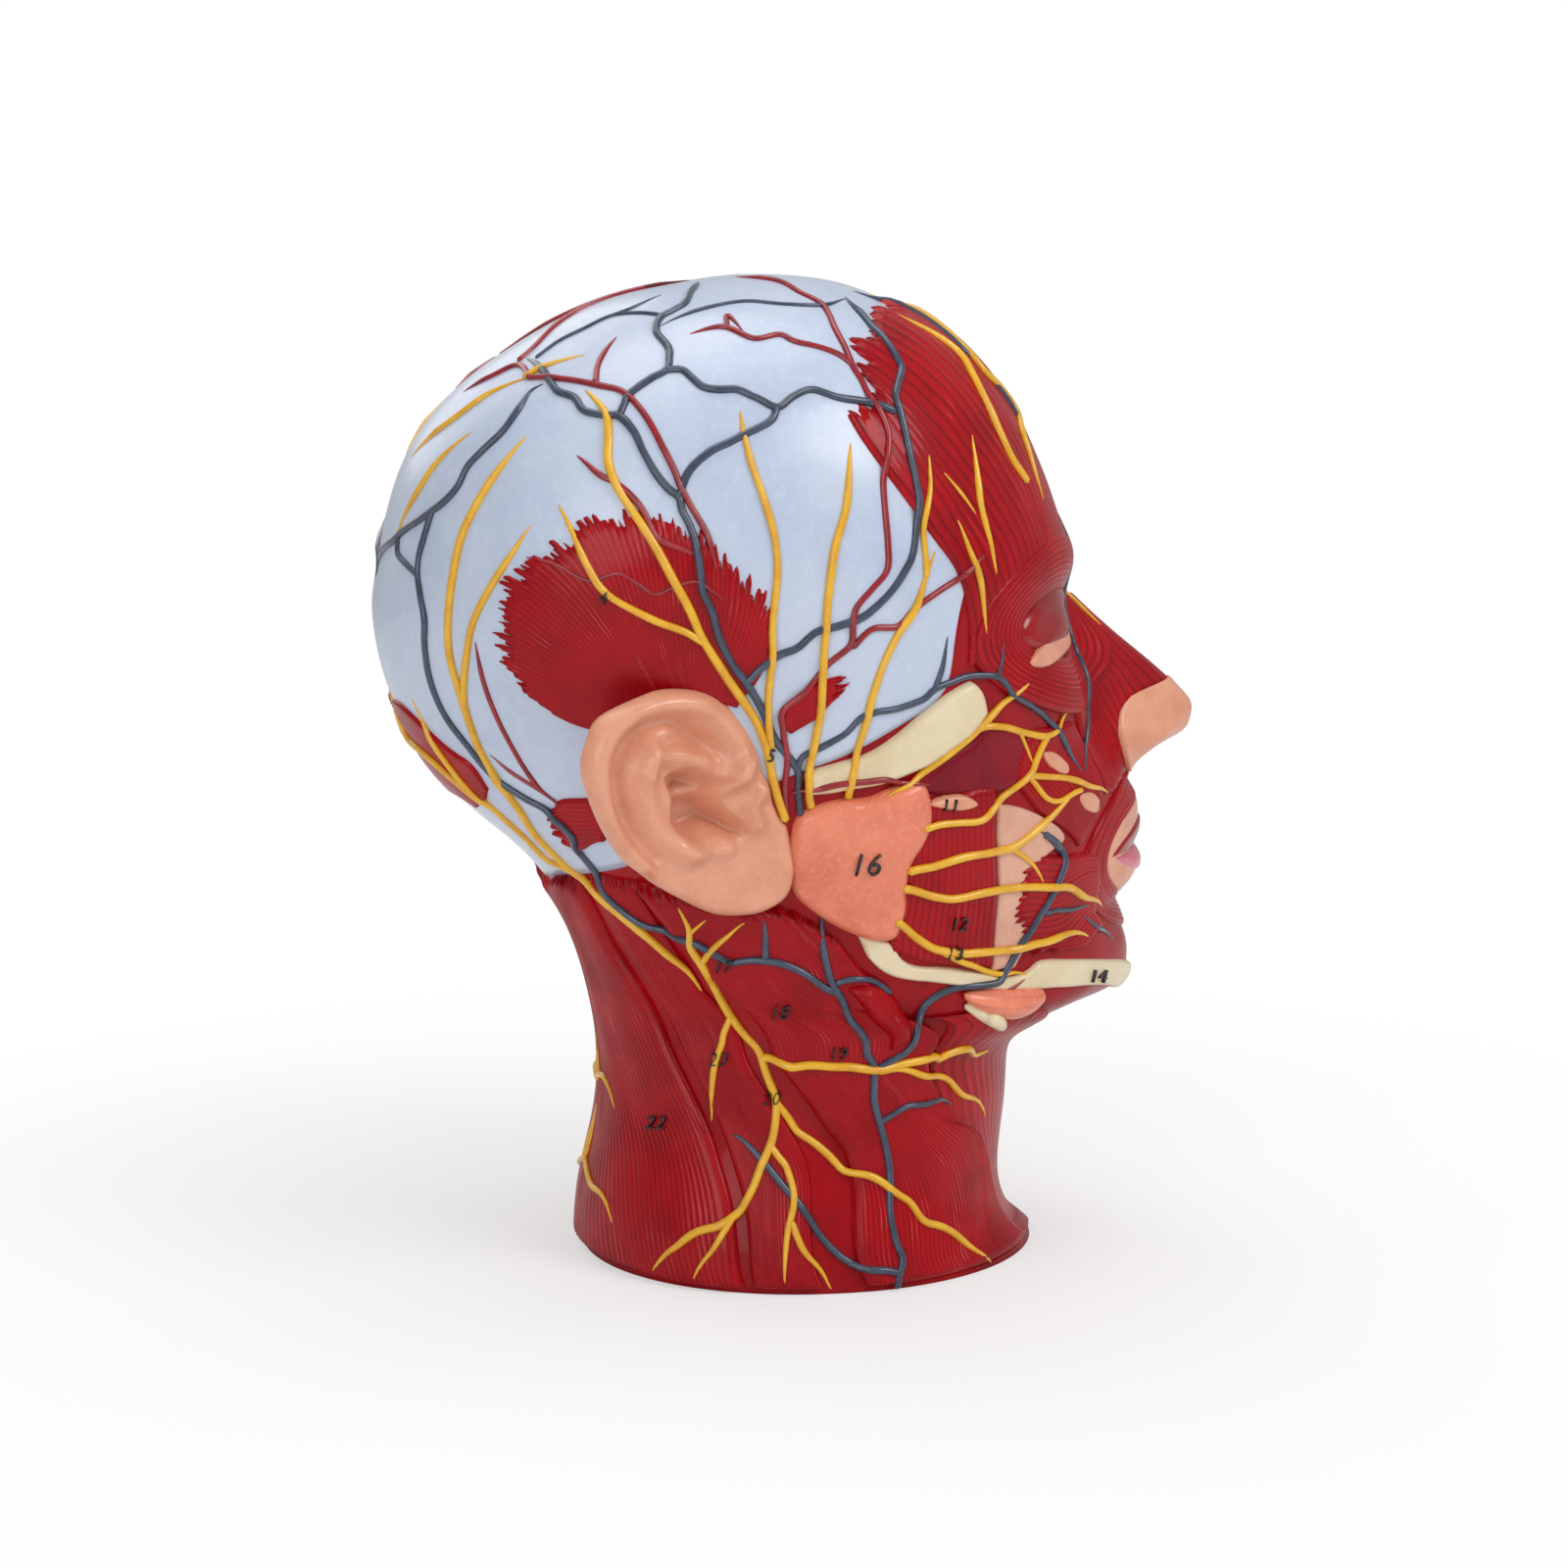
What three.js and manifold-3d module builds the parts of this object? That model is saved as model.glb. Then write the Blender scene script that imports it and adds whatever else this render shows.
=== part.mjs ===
import * as THREE from 'three';
import { mergeVertices } from 'three/addons/utils/BufferGeometryUtils.js';
import Module from 'manifold-3d';

const wasm = await Module();
wasm.setup();

// Driving sizes, in millimetres
const skullLength = 193;
const skullBreadth = 152;
const modelHeight = 267;
const faceDepth = 10;
const noseBreadth = 34;
const mouthBreadth = 50;
const shellWall = 4;
const faceWall = 12;
const plateThickness = 4;
const clearance = 0.3;
const seam = 0.42;
const middleLap = 2;
const hemHeight = 2;
const overrun = 30;
const weld = 0.003;
const fineWeld = 0.0003;

const thickness = {
  frontalis: 1.8, ring: 2.2, lid: 2.6, fan: 1.3, strap: 1.6, arch: 3.2, masseter: 2.6,
  parotid: 4.2, gland: 4, buccal: 1.3, mandible: 1.8, lips: 1.6, nose: 1.2,
  sternomastoid: 4.5, nape: 3, throat: 2, hyoid: 2.4,
};
const cordRadius = { nerve: 1.2, vein: 1.15, artery: 1 };
const cordStep = 10;
const cordSides = 4;
const cordTaperShare = 0.4;
const cordSeat = 0.5;
const lookAroundShare = 0.75;
const crossingShare = 0.6;

const ear = {
  standOff: 11, tilt: 20, wall: 2.8, rimHeight: 3.8, foldHeight: 1.6, lobeHeight: 2,
  bowlFloor: 2.6, bowlWall: 2.4, rootSink: 4,
};

// The outlines are drawn on a side view of the head: x to the right, y down, in picture points
const view = {
  turn: THREE.MathUtils.degToRad(11),
  rise: THREE.MathUtils.degToRad(9),
  distance: 950,
  middlePx: new THREE.Vector2(800, 800),
  skullSpanPx: 700,
  heightSpanPx: 974,
  aimHeightShare: 0.478,
  aimBackShare: 0.028,
};
const acrossScale = skullLength * Math.cos(view.turn) / view.skullSpanPx;
const upScale = modelHeight * Math.cos(view.rise) / view.heightSpanPx;
const perPx = (acrossScale + upScale) / 2;
const viewBack = new THREE.Vector3(
  -Math.cos(view.turn) * Math.cos(view.rise),
  Math.sin(view.turn) * Math.cos(view.rise),
  Math.sin(view.rise),
);
const viewRight = new THREE.Vector3(-Math.sin(view.turn), -Math.cos(view.turn), 0);
const viewUp = new THREE.Vector3().crossVectors(viewBack, viewRight);
const aim = new THREE.Vector3(0, view.aimBackShare * skullLength, view.aimHeightShare * modelHeight);
const eye = aim.clone().addScaledVector(viewBack, view.distance);

function rayThrough([x, y]) {
  const onGlass = aim.clone()
    .addScaledVector(viewRight, (x - view.middlePx.x) * acrossScale)
    .addScaledVector(viewUp, (view.middlePx.y - y) * upScale);
  return onGlass.sub(eye).normalize();
}

function onSidePlane(point, planeX) {
  const direction = rayThrough(point);
  return eye.clone().addScaledVector(direction, (planeX - eye.x) / direction.x);
}

// Curve through a table of [place, value] that never overshoots between its points
function smoothTable(points) {
  const table = points.slice().sort((a, b) => a[0] - b[0]);
  const slopes = table.map(() => 0);
  const chord = (k) => (table[k + 1][1] - table[k][1]) / (table[k + 1][0] - table[k][0]);
  for (let k = 1; k < table.length - 1; k += 1) {
    const before = chord(k - 1);
    const after = chord(k);
    slopes[k] = before * after > 0 ? 2 * before * after / (before + after) : 0;
  }
  slopes[0] = chord(0);
  slopes[table.length - 1] = chord(table.length - 2);
  return (place) => {
    const held = THREE.MathUtils.clamp(place, table[0][0], table[table.length - 1][0]);
    let k = 0;
    while (k < table.length - 2 && held > table[k + 1][0]) k += 1;
    const span = table[k + 1][0] - table[k][0];
    const t = (held - table[k][0]) / span;
    const rise = table[k + 1][1] - table[k][1];
    const bend = t * (1 - t) * ((1 - t) * (slopes[k] * span - rise) - t * (slopes[k + 1] * span - rise));
    return table[k][1] + rise * t + bend;
  };
}

// Depth below the crown, as a share whose square is the height lost, which keeps the dome round
const depthOf = (z) => Math.sqrt(THREE.MathUtils.clamp(1 - z / modelHeight, 0, 1));

// Mid-plane outlines of the head without nose, lips and chin
const frontPx = [
  [770, 279], [840, 285], [896, 304], [934, 322], [962, 341], [999, 380], [1024, 420], [1042, 460],
  [1057, 500], [1067, 540], [1070, 570], [1074, 600], [1082, 640], [1097, 700], [1117, 750], [1138, 785],
  [1141, 830], [1137, 870], [1131, 905], [1135, 940], [1138, 975], [1128, 997], [1106, 1007],
  [1062, 1016], [1034, 1030], [1018, 1050], [1016, 1100], [1010, 1140], [1005, 1180], [1016, 1215],
  [1034, 1240], [1048, 1262],
];
const backPx = [
  [770, 279], [700, 287], [632, 301], [581, 321], [545, 341], [514, 361], [486, 381], [445, 421],
  [418, 461], [402, 501], [392, 541], [385, 581], [380, 621], [385, 661], [396, 701], [414, 741],
  [439, 781], [478, 821], [528, 861], [563, 901], [587, 941], [602, 981], [612, 1021], [619, 1061],
  [620, 1101], [616, 1141], [607, 1181], [599, 1221], [596, 1262],
];
const noseRidgePx = [
  [1076, 596], [1090, 605], [1112, 625], [1140, 650], [1170, 675], [1195, 698], [1213, 720], [1209, 738],
  [1182, 755], [1158, 772], [1140, 788],
];
const lipRidgePx = [
  [1140, 788], [1154, 815], [1155, 838], [1147, 857], [1156, 872], [1150, 888], [1132, 906],
];
const chinRidgePx = [[1132, 906], [1138, 930], [1147, 962], [1146, 985], [1130, 1003], [1104, 1008]];

const alongDepth = (pixels) => smoothTable(pixels.map((point) => {
  const spot = onSidePlane(point, 0);
  return [depthOf(spot.z), spot.y];
}));
const frontOf = alongDepth(frontPx);
const backOf = alongDepth(backPx);
const noseOf = alongDepth(noseRidgePx);
const lipOf = alongDepth(lipRidgePx);
const chinOf = alongDepth(chinRidgePx);

// Half width against height, as shares of half the skull's breadth and of the model's height
const widthShares = [
  [1, 0], [0.996, 0.2], [0.985, 0.37], [0.955, 0.6], [0.91, 0.79], [0.86, 0.905], [0.8, 0.97],
  [0.73, 1], [0.67, 0.985], [0.6, 0.94], [0.54, 0.89], [0.48, 0.84], [0.42, 0.79], [0.36, 0.745],
  [0.3, 0.705], [0.25, 0.675], [0.18, 0.665], [0.11, 0.7], [0.05, 0.76], [0, 0.79],
];
const halfWidthOf = smoothTable(widthShares.map(([heightShare, widthShare]) => [
  depthOf(heightShare * modelHeight), widthShare * skullBreadth / 2,
]));
// Where each section is widest, from its back to its front
const widestShares = [
  [1, 0.5], [0.9, 0.47], [0.75, 0.44], [0.6, 0.45], [0.5, 0.46], [0.4, 0.46], [0.3, 0.44], [0.2, 0.5],
  [0, 0.5],
];
const widestOf = smoothTable(widestShares.map(([heightShare, share]) => [
  depthOf(heightShare * modelHeight), share,
]));
// Powers of each section's half ovals, against the depth share: 2 is an ellipse
const frontFullnessShares = [
  [0, 2], [0.45, 2.2], [0.56, 2.3], [0.66, 2.1], [0.76, 1.9], [0.84, 1.9], [1, 2],
];
const backFullnessShares = [[0, 2], [0.5, 2.15], [0.75, 2.1], [1, 2.1]];
const frontFullness = smoothTable(frontFullnessShares);
const backFullness = smoothTable(backFullnessShares);

const bell = (reach) => (Math.abs(reach) < 1 ? (1 - reach * reach) ** 2 : 0);
const hill = (a, b) => Math.exp(-(a * a) - b * b);

// Shallow forms of the face: height share, place across, spreads as shares of the half breadth
const formShares = [
  { name: 'brow', up: 0.715, across: 0.3, wide: 0.26, tall: 0.1, forward: 0.24 },
  { name: 'socket', up: 0.652, across: 0.42, wide: 0.22, tall: 0.14, forward: -0.9 },
  { name: 'eyeball', up: 0.65, across: 0.42, wide: 0.13, tall: 0.1, forward: 0.6 },
  { name: 'cheekbone', up: 0.585, across: 0.62, wide: 0.26, tall: 0.16, forward: 0.42 },
  { name: 'nostril', up: 0.52, across: 0.19, wide: 0.1, tall: 0.09, forward: 0.55 },
  { name: 'mouthSide', up: 0.42, across: 0.5, wide: 0.2, tall: 0.25, forward: -0.2 },
];
// The nose narrows from its wings, between two heights, towards its bridge
const noseWingShare = 1.3;
const noseNarrowingShare = 0.75;
const noseHeightShares = [0.54, 0.69];

// A point of one level section: two half ovals, one ahead and one behind the widest line
function sectionPoint(angle, z, inset) {
  const depth = depthOf(z);
  const front = frontOf(depth) + inset.front;
  const back = backOf(depth) - inset.side;
  const middle = back + (front - back) * widestOf(depth);
  const ahead = Math.cos(angle) > 0;
  const power = 2 / (ahead ? frontFullness(depth) : backFullness(depth));
  const halfWidth = (halfWidthOf(depth) - inset.side) * Math.sign(Math.sin(angle));
  const end = ahead ? front : back;
  return new THREE.Vector3(
    halfWidth * Math.abs(Math.sin(angle)) ** power,
    middle + (end - middle) * Math.abs(Math.cos(angle)) ** power,
    z,
  );
}

function headPoint(angle, z) {
  const point = sectionPoint(angle, z, { front: 0, side: 0 });
  if (Math.cos(angle) <= 0) return point;
  const depth = depthOf(z);
  const halfBreadth = skullBreadth / 2;
  const side = Math.abs(point.x);
  const facing = Math.sqrt(Math.cos(angle));
  const inRange = (table, ridge) => {
    const top = onSidePlane(table[0], 0).z;
    const foot = onSidePlane(table[table.length - 1], 0).z;
    return z < top && z > foot ? Math.max(frontOf(depth) - ridge(depth), 0) : 0;
  };
  const noseHeight = inRange(noseRidgePx, noseOf);
  const bridge = THREE.MathUtils.smoothstep(z / modelHeight, ...noseHeightShares);
  const noseReach = noseBreadth / 2 * (noseWingShare - noseNarrowingShare * bridge);
  const lipHeight = inRange(lipRidgePx, lipOf);
  const chinHeight = inRange(chinRidgePx, chinOf);
  let forward = noseHeight * bell(side / noseReach);
  forward += lipHeight * bell(side / (mouthBreadth / 2));
  forward += chinHeight * bell(side / (mouthBreadth / 2));
  for (const form of formShares) {
    const across = (side / halfBreadth - form.across) / form.wide;
    const up = (z / modelHeight - form.up) * modelHeight / halfBreadth / form.tall;
    forward += form.forward * faceDepth * hill(across, up) * facing;
  }
  point.y -= forward;
  return point;
}

// Rows of heights, closer on the face, and columns of angles, closer at the front
const crownRows = 6;
const faceRows = 22;
const neckRows = 4;
const columns = 32;
const crownDepthShare = 0.45;
const chinHeightShare = 0.22;
const frontCrowding = 0.42;

function rowHeights() {
  const shoulder = modelHeight * (1 - crownDepthShare ** 2);
  const chin = modelHeight * chinHeightShare;
  const heights = [];
  for (let k = 0; k < neckRows; k += 1) heights.push(chin * k / neckRows);
  for (let k = 0; k < faceRows; k += 1) heights.push(chin + (shoulder - chin) * k / faceRows);
  for (let k = 0; k < crownRows; k += 1) {
    heights.push(modelHeight * (1 - (crownDepthShare * (1 - k / crownRows)) ** 2));
  }
  return heights;
}
const columnAngles = [];
for (let k = 0; k < columns; k += 1) {
  const turn = 2 * Math.PI * k / columns;
  columnAngles.push(turn - frontCrowding * Math.sin(turn));
}
const heights = rowHeights();
const rows = heights.length;
const headRows = heights.map((z) => columnAngles.map((angle) => headPoint(angle, z)));
const crown = new THREE.Vector3(0, frontOf(0), modelHeight);

function normalAt(row, column) {
  const left = headRows[row][(column + columns - 1) % columns];
  const right = headRows[row][(column + 1) % columns];
  const below = headRows[Math.max(row - 1, 0)][column];
  const above = row + 1 < rows ? headRows[row + 1][column] : crown;
  const normal = right.clone().sub(left).cross(above.clone().sub(below)).normalize();
  if (row === 0) normal.setZ(0).normalize();
  return normal;
}
const headNormals = headRows.map((line, row) => line.map((_, column) => normalAt(row, column)));

// A closed skin over rows of points, with a flat floor below and a pole above. Its two halves are
// mirror images, down to the diagonals of their faces
function closedSkin(lines, top) {
  const positions = [];
  const faces = [];
  const count = lines[0].length;
  for (const line of lines) for (const point of line) positions.push(point.x, point.y, point.z);
  const floorCentre = lines[0].reduce((sum, point) => sum.add(point), new THREE.Vector3())
    .divideScalar(count);
  positions.push(floorCentre.x, floorCentre.y, floorCentre.z, top.x, top.y, top.z);
  const floor = lines.length * count;
  for (let column = 0; column < count; column += 1) {
    const next = (column + 1) % count;
    for (let row = 0; row < lines.length - 1; row += 1) {
      const a = row * count + column;
      const b = row * count + next;
      if (column < count / 2) faces.push(a, b, b + count, a, b + count, a + count);
      else faces.push(a, b, a + count, b, b + count, a + count);
    }
    const last = (lines.length - 1) * count;
    faces.push(floor, next, column, last + column, last + next, floor + 1);
  }
  const geometry = new THREE.BufferGeometry();
  geometry.setAttribute('position', new THREE.Float32BufferAttribute(positions, 3));
  geometry.setIndex(faces);
  return geometry;
}

function headSkin(offset) {
  const lines = headRows.map((line, row) => line.map((point, column) => (
    point.clone().addScaledVector(headNormals[row][column], offset)
  )));
  return closedSkin(lines, crown.clone().setZ(modelHeight + offset));
}

function toSolid(geometry) {
  const bare = geometry.clone();
  for (const name of Object.keys(bare.attributes)) {
    if (name !== 'position') bare.deleteAttribute(name);
  }
  const merged = mergeVertices(bare, weld);
  return new wasm.Manifold(new wasm.Mesh({
    numProp: 3,
    vertProperties: new Float32Array(merged.attributes.position.array),
    triVerts: new Uint32Array(merged.index.array),
  }));
}

// Keeps the largest connected body of a cut piece, because a cut can leave slivers at its rim
function largestBody(solid) {
  const mesh = solid.getMesh();
  const parent = Array.from({ length: mesh.vertProperties.length / 3 }, (_, k) => k);
  const rootOf = (k) => {
    let root = k;
    while (parent[root] !== root) root = parent[root];
    parent[k] = root;
    return root;
  };
  const triangles = mesh.triVerts;
  for (let k = 0; k < triangles.length; k += 3) {
    parent[rootOf(triangles[k])] = rootOf(triangles[k + 1]);
    parent[rootOf(triangles[k + 1])] = rootOf(triangles[k + 2]);
  }
  const counts = new Map();
  for (let k = 0; k < triangles.length; k += 3) {
    const root = rootOf(triangles[k]);
    counts.set(root, (counts.get(root) ?? 0) + 1);
  }
  const [winner] = [...counts.entries()].sort((a, b) => b[1] - a[1])[0];
  const kept = [];
  for (let k = 0; k < triangles.length; k += 3) {
    if (rootOf(triangles[k]) === winner) kept.push(triangles[k], triangles[k + 1], triangles[k + 2]);
  }
  const geometry = new THREE.BufferGeometry();
  geometry.setAttribute('position', new THREE.BufferAttribute(new Float32Array(mesh.vertProperties), 3));
  geometry.setIndex(kept);
  return mergeVertices(geometry.toNonIndexed(), fineWeld);
}

function turnedInsideOut(geometry) {
  const copy = geometry.clone();
  const order = Array.from(copy.index.array);
  for (let k = 0; k < order.length; k += 3) [order[k + 1], order[k + 2]] = [order[k + 2], order[k + 1]];
  copy.setIndex(order);
  return copy;
}

function mirrored(geometry) {
  const copy = turnedInsideOut(geometry);
  const spots = copy.attributes.position;
  for (let k = 0; k < spots.count; k += 1) spots.setX(k, -spots.getX(k));
  return copy;
}

// An outline grown outwards by a margin in its own units
function grown(outline, margin) {
  const count = outline.length;
  const area = THREE.ShapeUtils.area(outline.map(([x, y]) => new THREE.Vector2(x, y)));
  return outline.map(([x, y], k) => {
    const [ax, ay] = outline[(k + count - 1) % count];
    const [bx, by] = outline[(k + 1) % count];
    const out = new THREE.Vector2(by - ay, ax - bx).normalize().multiplyScalar(Math.sign(area) * margin);
    return [x + out.x, y + out.y];
  });
}

// The block between two places of an outline, whose points come round anticlockwise
function blockBetween(outline, near, far) {
  const count = outline.length;
  const flat = outline.map(([x, y]) => new THREE.Vector2(x, y));
  const caps = THREE.ShapeUtils.triangulateShape(flat, []);
  const faces = [];
  for (const [a, b, c] of caps) faces.push(a, c, b, a + count, b + count, c + count);
  for (let k = 0; k < count; k += 1) {
    const next = (k + 1) % count;
    faces.push(k, next + count, k + count, k, next, next + count);
  }
  const geometry = new THREE.BufferGeometry();
  const positions = [...outline.map(near), ...outline.map(far)].flatMap((point) => point.toArray());
  geometry.setAttribute('position', new THREE.Float32BufferAttribute(positions, 3));
  geometry.setIndex(faces);
  return toSolid(signedVolume(geometry) < 0 ? turnedInsideOut(geometry) : geometry);
}

function anticlockwise(outline) {
  const area = THREE.ShapeUtils.area(outline.map(([x, y]) => new THREE.Vector2(x, y)));
  return area < 0 ? outline.slice().reverse() : outline;
}

// The block that an outline sweeps along the lines of sight, between two upright planes
function sightBlock(outline, nearX, farX) {
  return blockBetween(
    anticlockwise(outline), (point) => onSidePlane(point, nearX), (point) => onSidePlane(point, farX),
  );
}

// The block that a front-view outline sweeps from before the face to the middle of the head
function faceBlock(outline) {
  const at = (y) => ([x, z]) => new THREE.Vector3(x, y, z);
  return blockBetween(anticlockwise(outline), at(-skullLength), at(0));
}

function signedVolume(geometry) {
  const order = geometry.index.array;
  const corner = (k) => new THREE.Vector3().fromBufferAttribute(geometry.attributes.position, order[k]);
  let sum = 0;
  for (let k = 0; k < order.length; k += 3) sum += corner(k).dot(corner(k + 1).cross(corner(k + 2)));
  return sum / 6;
}

function mirroredSolid(solid) {
  const mesh = solid.getMesh();
  const geometry = new THREE.BufferGeometry();
  geometry.setAttribute('position', new THREE.BufferAttribute(new Float32Array(mesh.vertProperties), 3));
  geometry.setIndex(Array.from(mesh.triVerts));
  return toSolid(mirrored(geometry));
}

const outerX = -skullBreadth / 2 - overrun;

// A block on both sides of the head that meets itself across the middle
function bothSides(outline) {
  const right = sightBlock(outline, outerX, middleLap);
  return right.add(mirroredSolid(right));
}

const skins = new Map();
function headSolid(offset) {
  if (!skins.has(offset)) skins.set(offset, toSolid(headSkin(offset)));
  return skins.get(offset);
}
const floorBlock = new THREE.BoxGeometry(skullBreadth + 2 * overrun, 2 * skullLength, overrun);
floorBlock.translate(0, 0, hemHeight - overrun / 2);
const floorSolid = toSolid(floorBlock);

// Relief pieces that lie on the shell, in the order in which they claim their ground
const claimed = [];
const reliefMeshes = [];
function relief(ground, keepOut, thick) {
  let free = ground;
  for (const block of claimed) free = free.subtract(block);
  claimed.push(keepOut, mirroredSolid(keepOut));
  const layer = headSolid(clearance + thick).subtract(headSolid(clearance)).subtract(floorSolid);
  const geometry = largestBody(layer.intersect(free));
  reliefMeshes.push(new THREE.Mesh(geometry));
  return geometry;
}

function sideRelief(outline, thick) {
  const wide = grown(outline, seam / perPx);
  return relief(sightBlock(outline, outerX, -clearance / 2), sightBlock(wide, outerX, 0), thick);
}
function acrossRelief(outline, thick) {
  return relief(bothSides(outline), bothSides(grown(outline, seam / perPx)), thick);
}
function faceRelief(outlineShares, thick) {
  const outline = outlineShares.map(([across, up]) => [across * skullBreadth / 2, up * modelHeight]);
  return relief(faceBlock(outline), faceBlock(grown(outline, seam)), thick);
}

// Front-view ovals: centre across and up, half width and half height, all across as shares of the
// half breadth and all up as shares of the model's height
const ovalSides = 12;
function ovalShares([across, up, halfWide, halfTall]) {
  return Array.from({ length: ovalSides }, (_, k) => {
    const angle = 2 * Math.PI * k / ovalSides;
    return [across + halfWide * Math.cos(angle), up + halfTall * Math.sin(angle)];
  });
}
const lidShares = [-0.41, 0.652, 0.17, 0.034];
const ringShares = [-0.42, 0.652, 0.35, 0.076];
const lipShares = [0, 0.402, 0.34, 0.046];
const noseCapShares = [0, 0.531, 0.25, 0.047];
const hyoidShares = [0, 0.226, 0.34, 0.014];
const throatShares = [[-0.38, 0.2], [-0.3, 0.06], [0.3, 0.06], [0.38, 0.2]];

// Side-view outlines in picture points
const outlinePx = {
  frontalis: [[895, 285], [890, 304], [868, 330], [868, 370], [882, 405], [890, 430], [915, 490],
    [950, 545], [985, 600], [990, 640], [1006, 655], [1018, 590], [1045, 556], [1140, 560], [1120, 400],
    [1000, 285]],
  arch: [[823, 790], [855, 780], [890, 768], [918, 749], [948, 723], [975, 703], [998, 700], [1008, 714],
    [1005, 732], [986, 754], [960, 772], [938, 786], [900, 799], [850, 806], [824, 806]],
  parotid: [[809, 845], [823, 825], [855, 814], [884, 812], [909, 804], [935, 798], [945, 812],
    [947, 838], [940, 860], [928, 880], [923, 902], [921, 931], [912, 954], [887, 957], [868, 950],
    [846, 940], [812, 906]],
  masseter: [[948, 800], [968, 784], [1003, 762], [1012, 800], [1013, 870], [1012, 960], [1008, 984],
    [960, 980], [925, 976], [915, 960], [926, 900], [950, 850]],
  buccal: [[1017, 820], [1037, 822], [1069, 841], [1085, 856], [1066, 872], [1036, 882], [1036, 930],
    [1030, 965], [1016, 988], [1014, 940]],
  zygomatic: [[1012, 722], [1040, 728], [1080, 775], [1118, 835], [1112, 850], [1088, 838], [1050, 790],
    [1014, 752]],
  mandible: [[873, 956], [912, 962], [930, 984], [973, 988], [1024, 998], [1047, 990], [1075, 975],
    [1120, 981], [1185, 978], [1185, 1012], [1110, 1010], [1063, 1010], [1024, 1012], [989, 1006],
    [941, 1000], [906, 996], [888, 980]],
  gland: [[980, 1020], [1011, 1013], [1045, 1013], [1060, 1020], [1047, 1036], [1024, 1041], [1000, 1036]],
  fan: [[505, 600], [508, 655], [518, 698], [545, 718], [600, 747], [625, 722], [665, 698], [745, 705],
    [765, 690], [786, 672], [786, 612], [764, 590], [733, 566], [704, 540], [668, 524], [605, 527],
    [550, 556]],
  forward: [[793, 722], [812, 704], [836, 694], [860, 692], [860, 702], [832, 730], [814, 748], [797, 748]],
  behind: [[565, 828], [573, 818], [598, 814], [614, 853], [596, 866], [573, 853]],
  occipital: [[409, 722], [422, 735], [455, 764], [480, 777], [497, 800], [495, 822], [470, 806],
    [444, 790], [420, 757]],
  sternomastoid: [[640, 925], [700, 930], [760, 944], [815, 930], [870, 1000], [935, 1100], [990, 1180],
    [1060, 1262], [1060, 1345], [880, 1345], [838, 1235], [775, 1110], [705, 1005]],
  nape: [[560, 893], [586, 893], [621, 951], [650, 1000], [683, 1064], [713, 1125], [733, 1180],
    [738, 1345], [560, 1330], [560, 1000]],
};

const colours = {
  scalp: [0xb9c3cf, 0.35, 0], muscle: [0xa3161c, 0.3, 0], flesh: [0xe9b48f, 0.4, 0],
  gland: [0xe07a4c, 0.35, 0], bone: [0xe8dcb4, 0.4, 0], buccal: [0xcf9c86, 0.4, 0],
  nerve: [0xe8c52c, 0.3, 0], vein: [0x35516f, 0.3, 0], artery: [0xb01218, 0.3, 0],
  plate: [0xd8d4cc, 0.6, 0],
};
const head = new THREE.Group();

function place(name, geometry, colour) {
  const [tint, roughness, metalness] = colours[colour];
  const material = new THREE.MeshStandardMaterial({ color: tint, roughness, metalness });
  const mesh = new THREE.Mesh(geometry, material);
  mesh.name = name;
  head.add(mesh);
}

function placePair(name, geometry, colour) {
  place(`${name}_right`, geometry, colour);
  place(`${name}_left`, mirrored(geometry), colour);
}

// Hollow shell in two mouldings, and the plate that closes the neck. The hollow is the head's own
// form, drawn in by the walls and pressed down between the plate and the roof
const insideRows = [];
const insideStep = 4;
for (let row = 0; row < rows; row += insideStep) {
  const z = heights[row];
  const inset = { front: faceWall, side: shellWall };
  const roof = modelHeight - shellWall;
  const shrunk = plateThickness + z * (roof - plateThickness) / modelHeight;
  const source = Math.max(shrunk * modelHeight / roof, plateThickness);
  insideRows.push(columnAngles.filter((_, k) => k % 2 === 0).map((angle) => (
    sectionPoint(angle, Math.min(source, roof), inset).setZ(shrunk)
  )));
}
insideRows.unshift(insideRows[0].map((point) => point.clone().setZ(-overrun)));
const cavity = toSolid(closedSkin(insideRows, crown.clone().setZ(modelHeight - shellWall)));
const hollow = headSolid(0).subtract(cavity);
const scalpPx = [
  [1200, 590], [1106, 596], [1040, 640], [992, 690], [916, 742], [856, 774], [822, 786], [700, 850],
  [632, 886], [556, 893], [300, 905], [300, 200], [1200, 200],
];
const faceGround = hollow.subtract(bothSides(grown(scalpPx, clearance / perPx)));
place('cranial_shell', largestBody(hollow.intersect(bothSides(scalpPx))), 'scalp');
place('face_neck_shell', largestBody(faceGround), 'muscle');
const plateFit = (skullBreadth / 2 - 2 * clearance) / (skullBreadth / 2);
const plateOutline = new THREE.Shape(insideRows[0].map((point) => (
  new THREE.Vector2(point.x, point.y).multiplyScalar(plateFit)
)));
const plate = new THREE.ExtrudeGeometry(plateOutline, { depth: plateThickness, bevelEnabled: false });
place('base_plate', toIndexed(plate), 'plate');

function toIndexed(geometry) {
  const bare = geometry.clone();
  for (const name of ['normal', 'uv']) bare.deleteAttribute(name);
  return mergeVertices(bare, weld);
}

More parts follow.
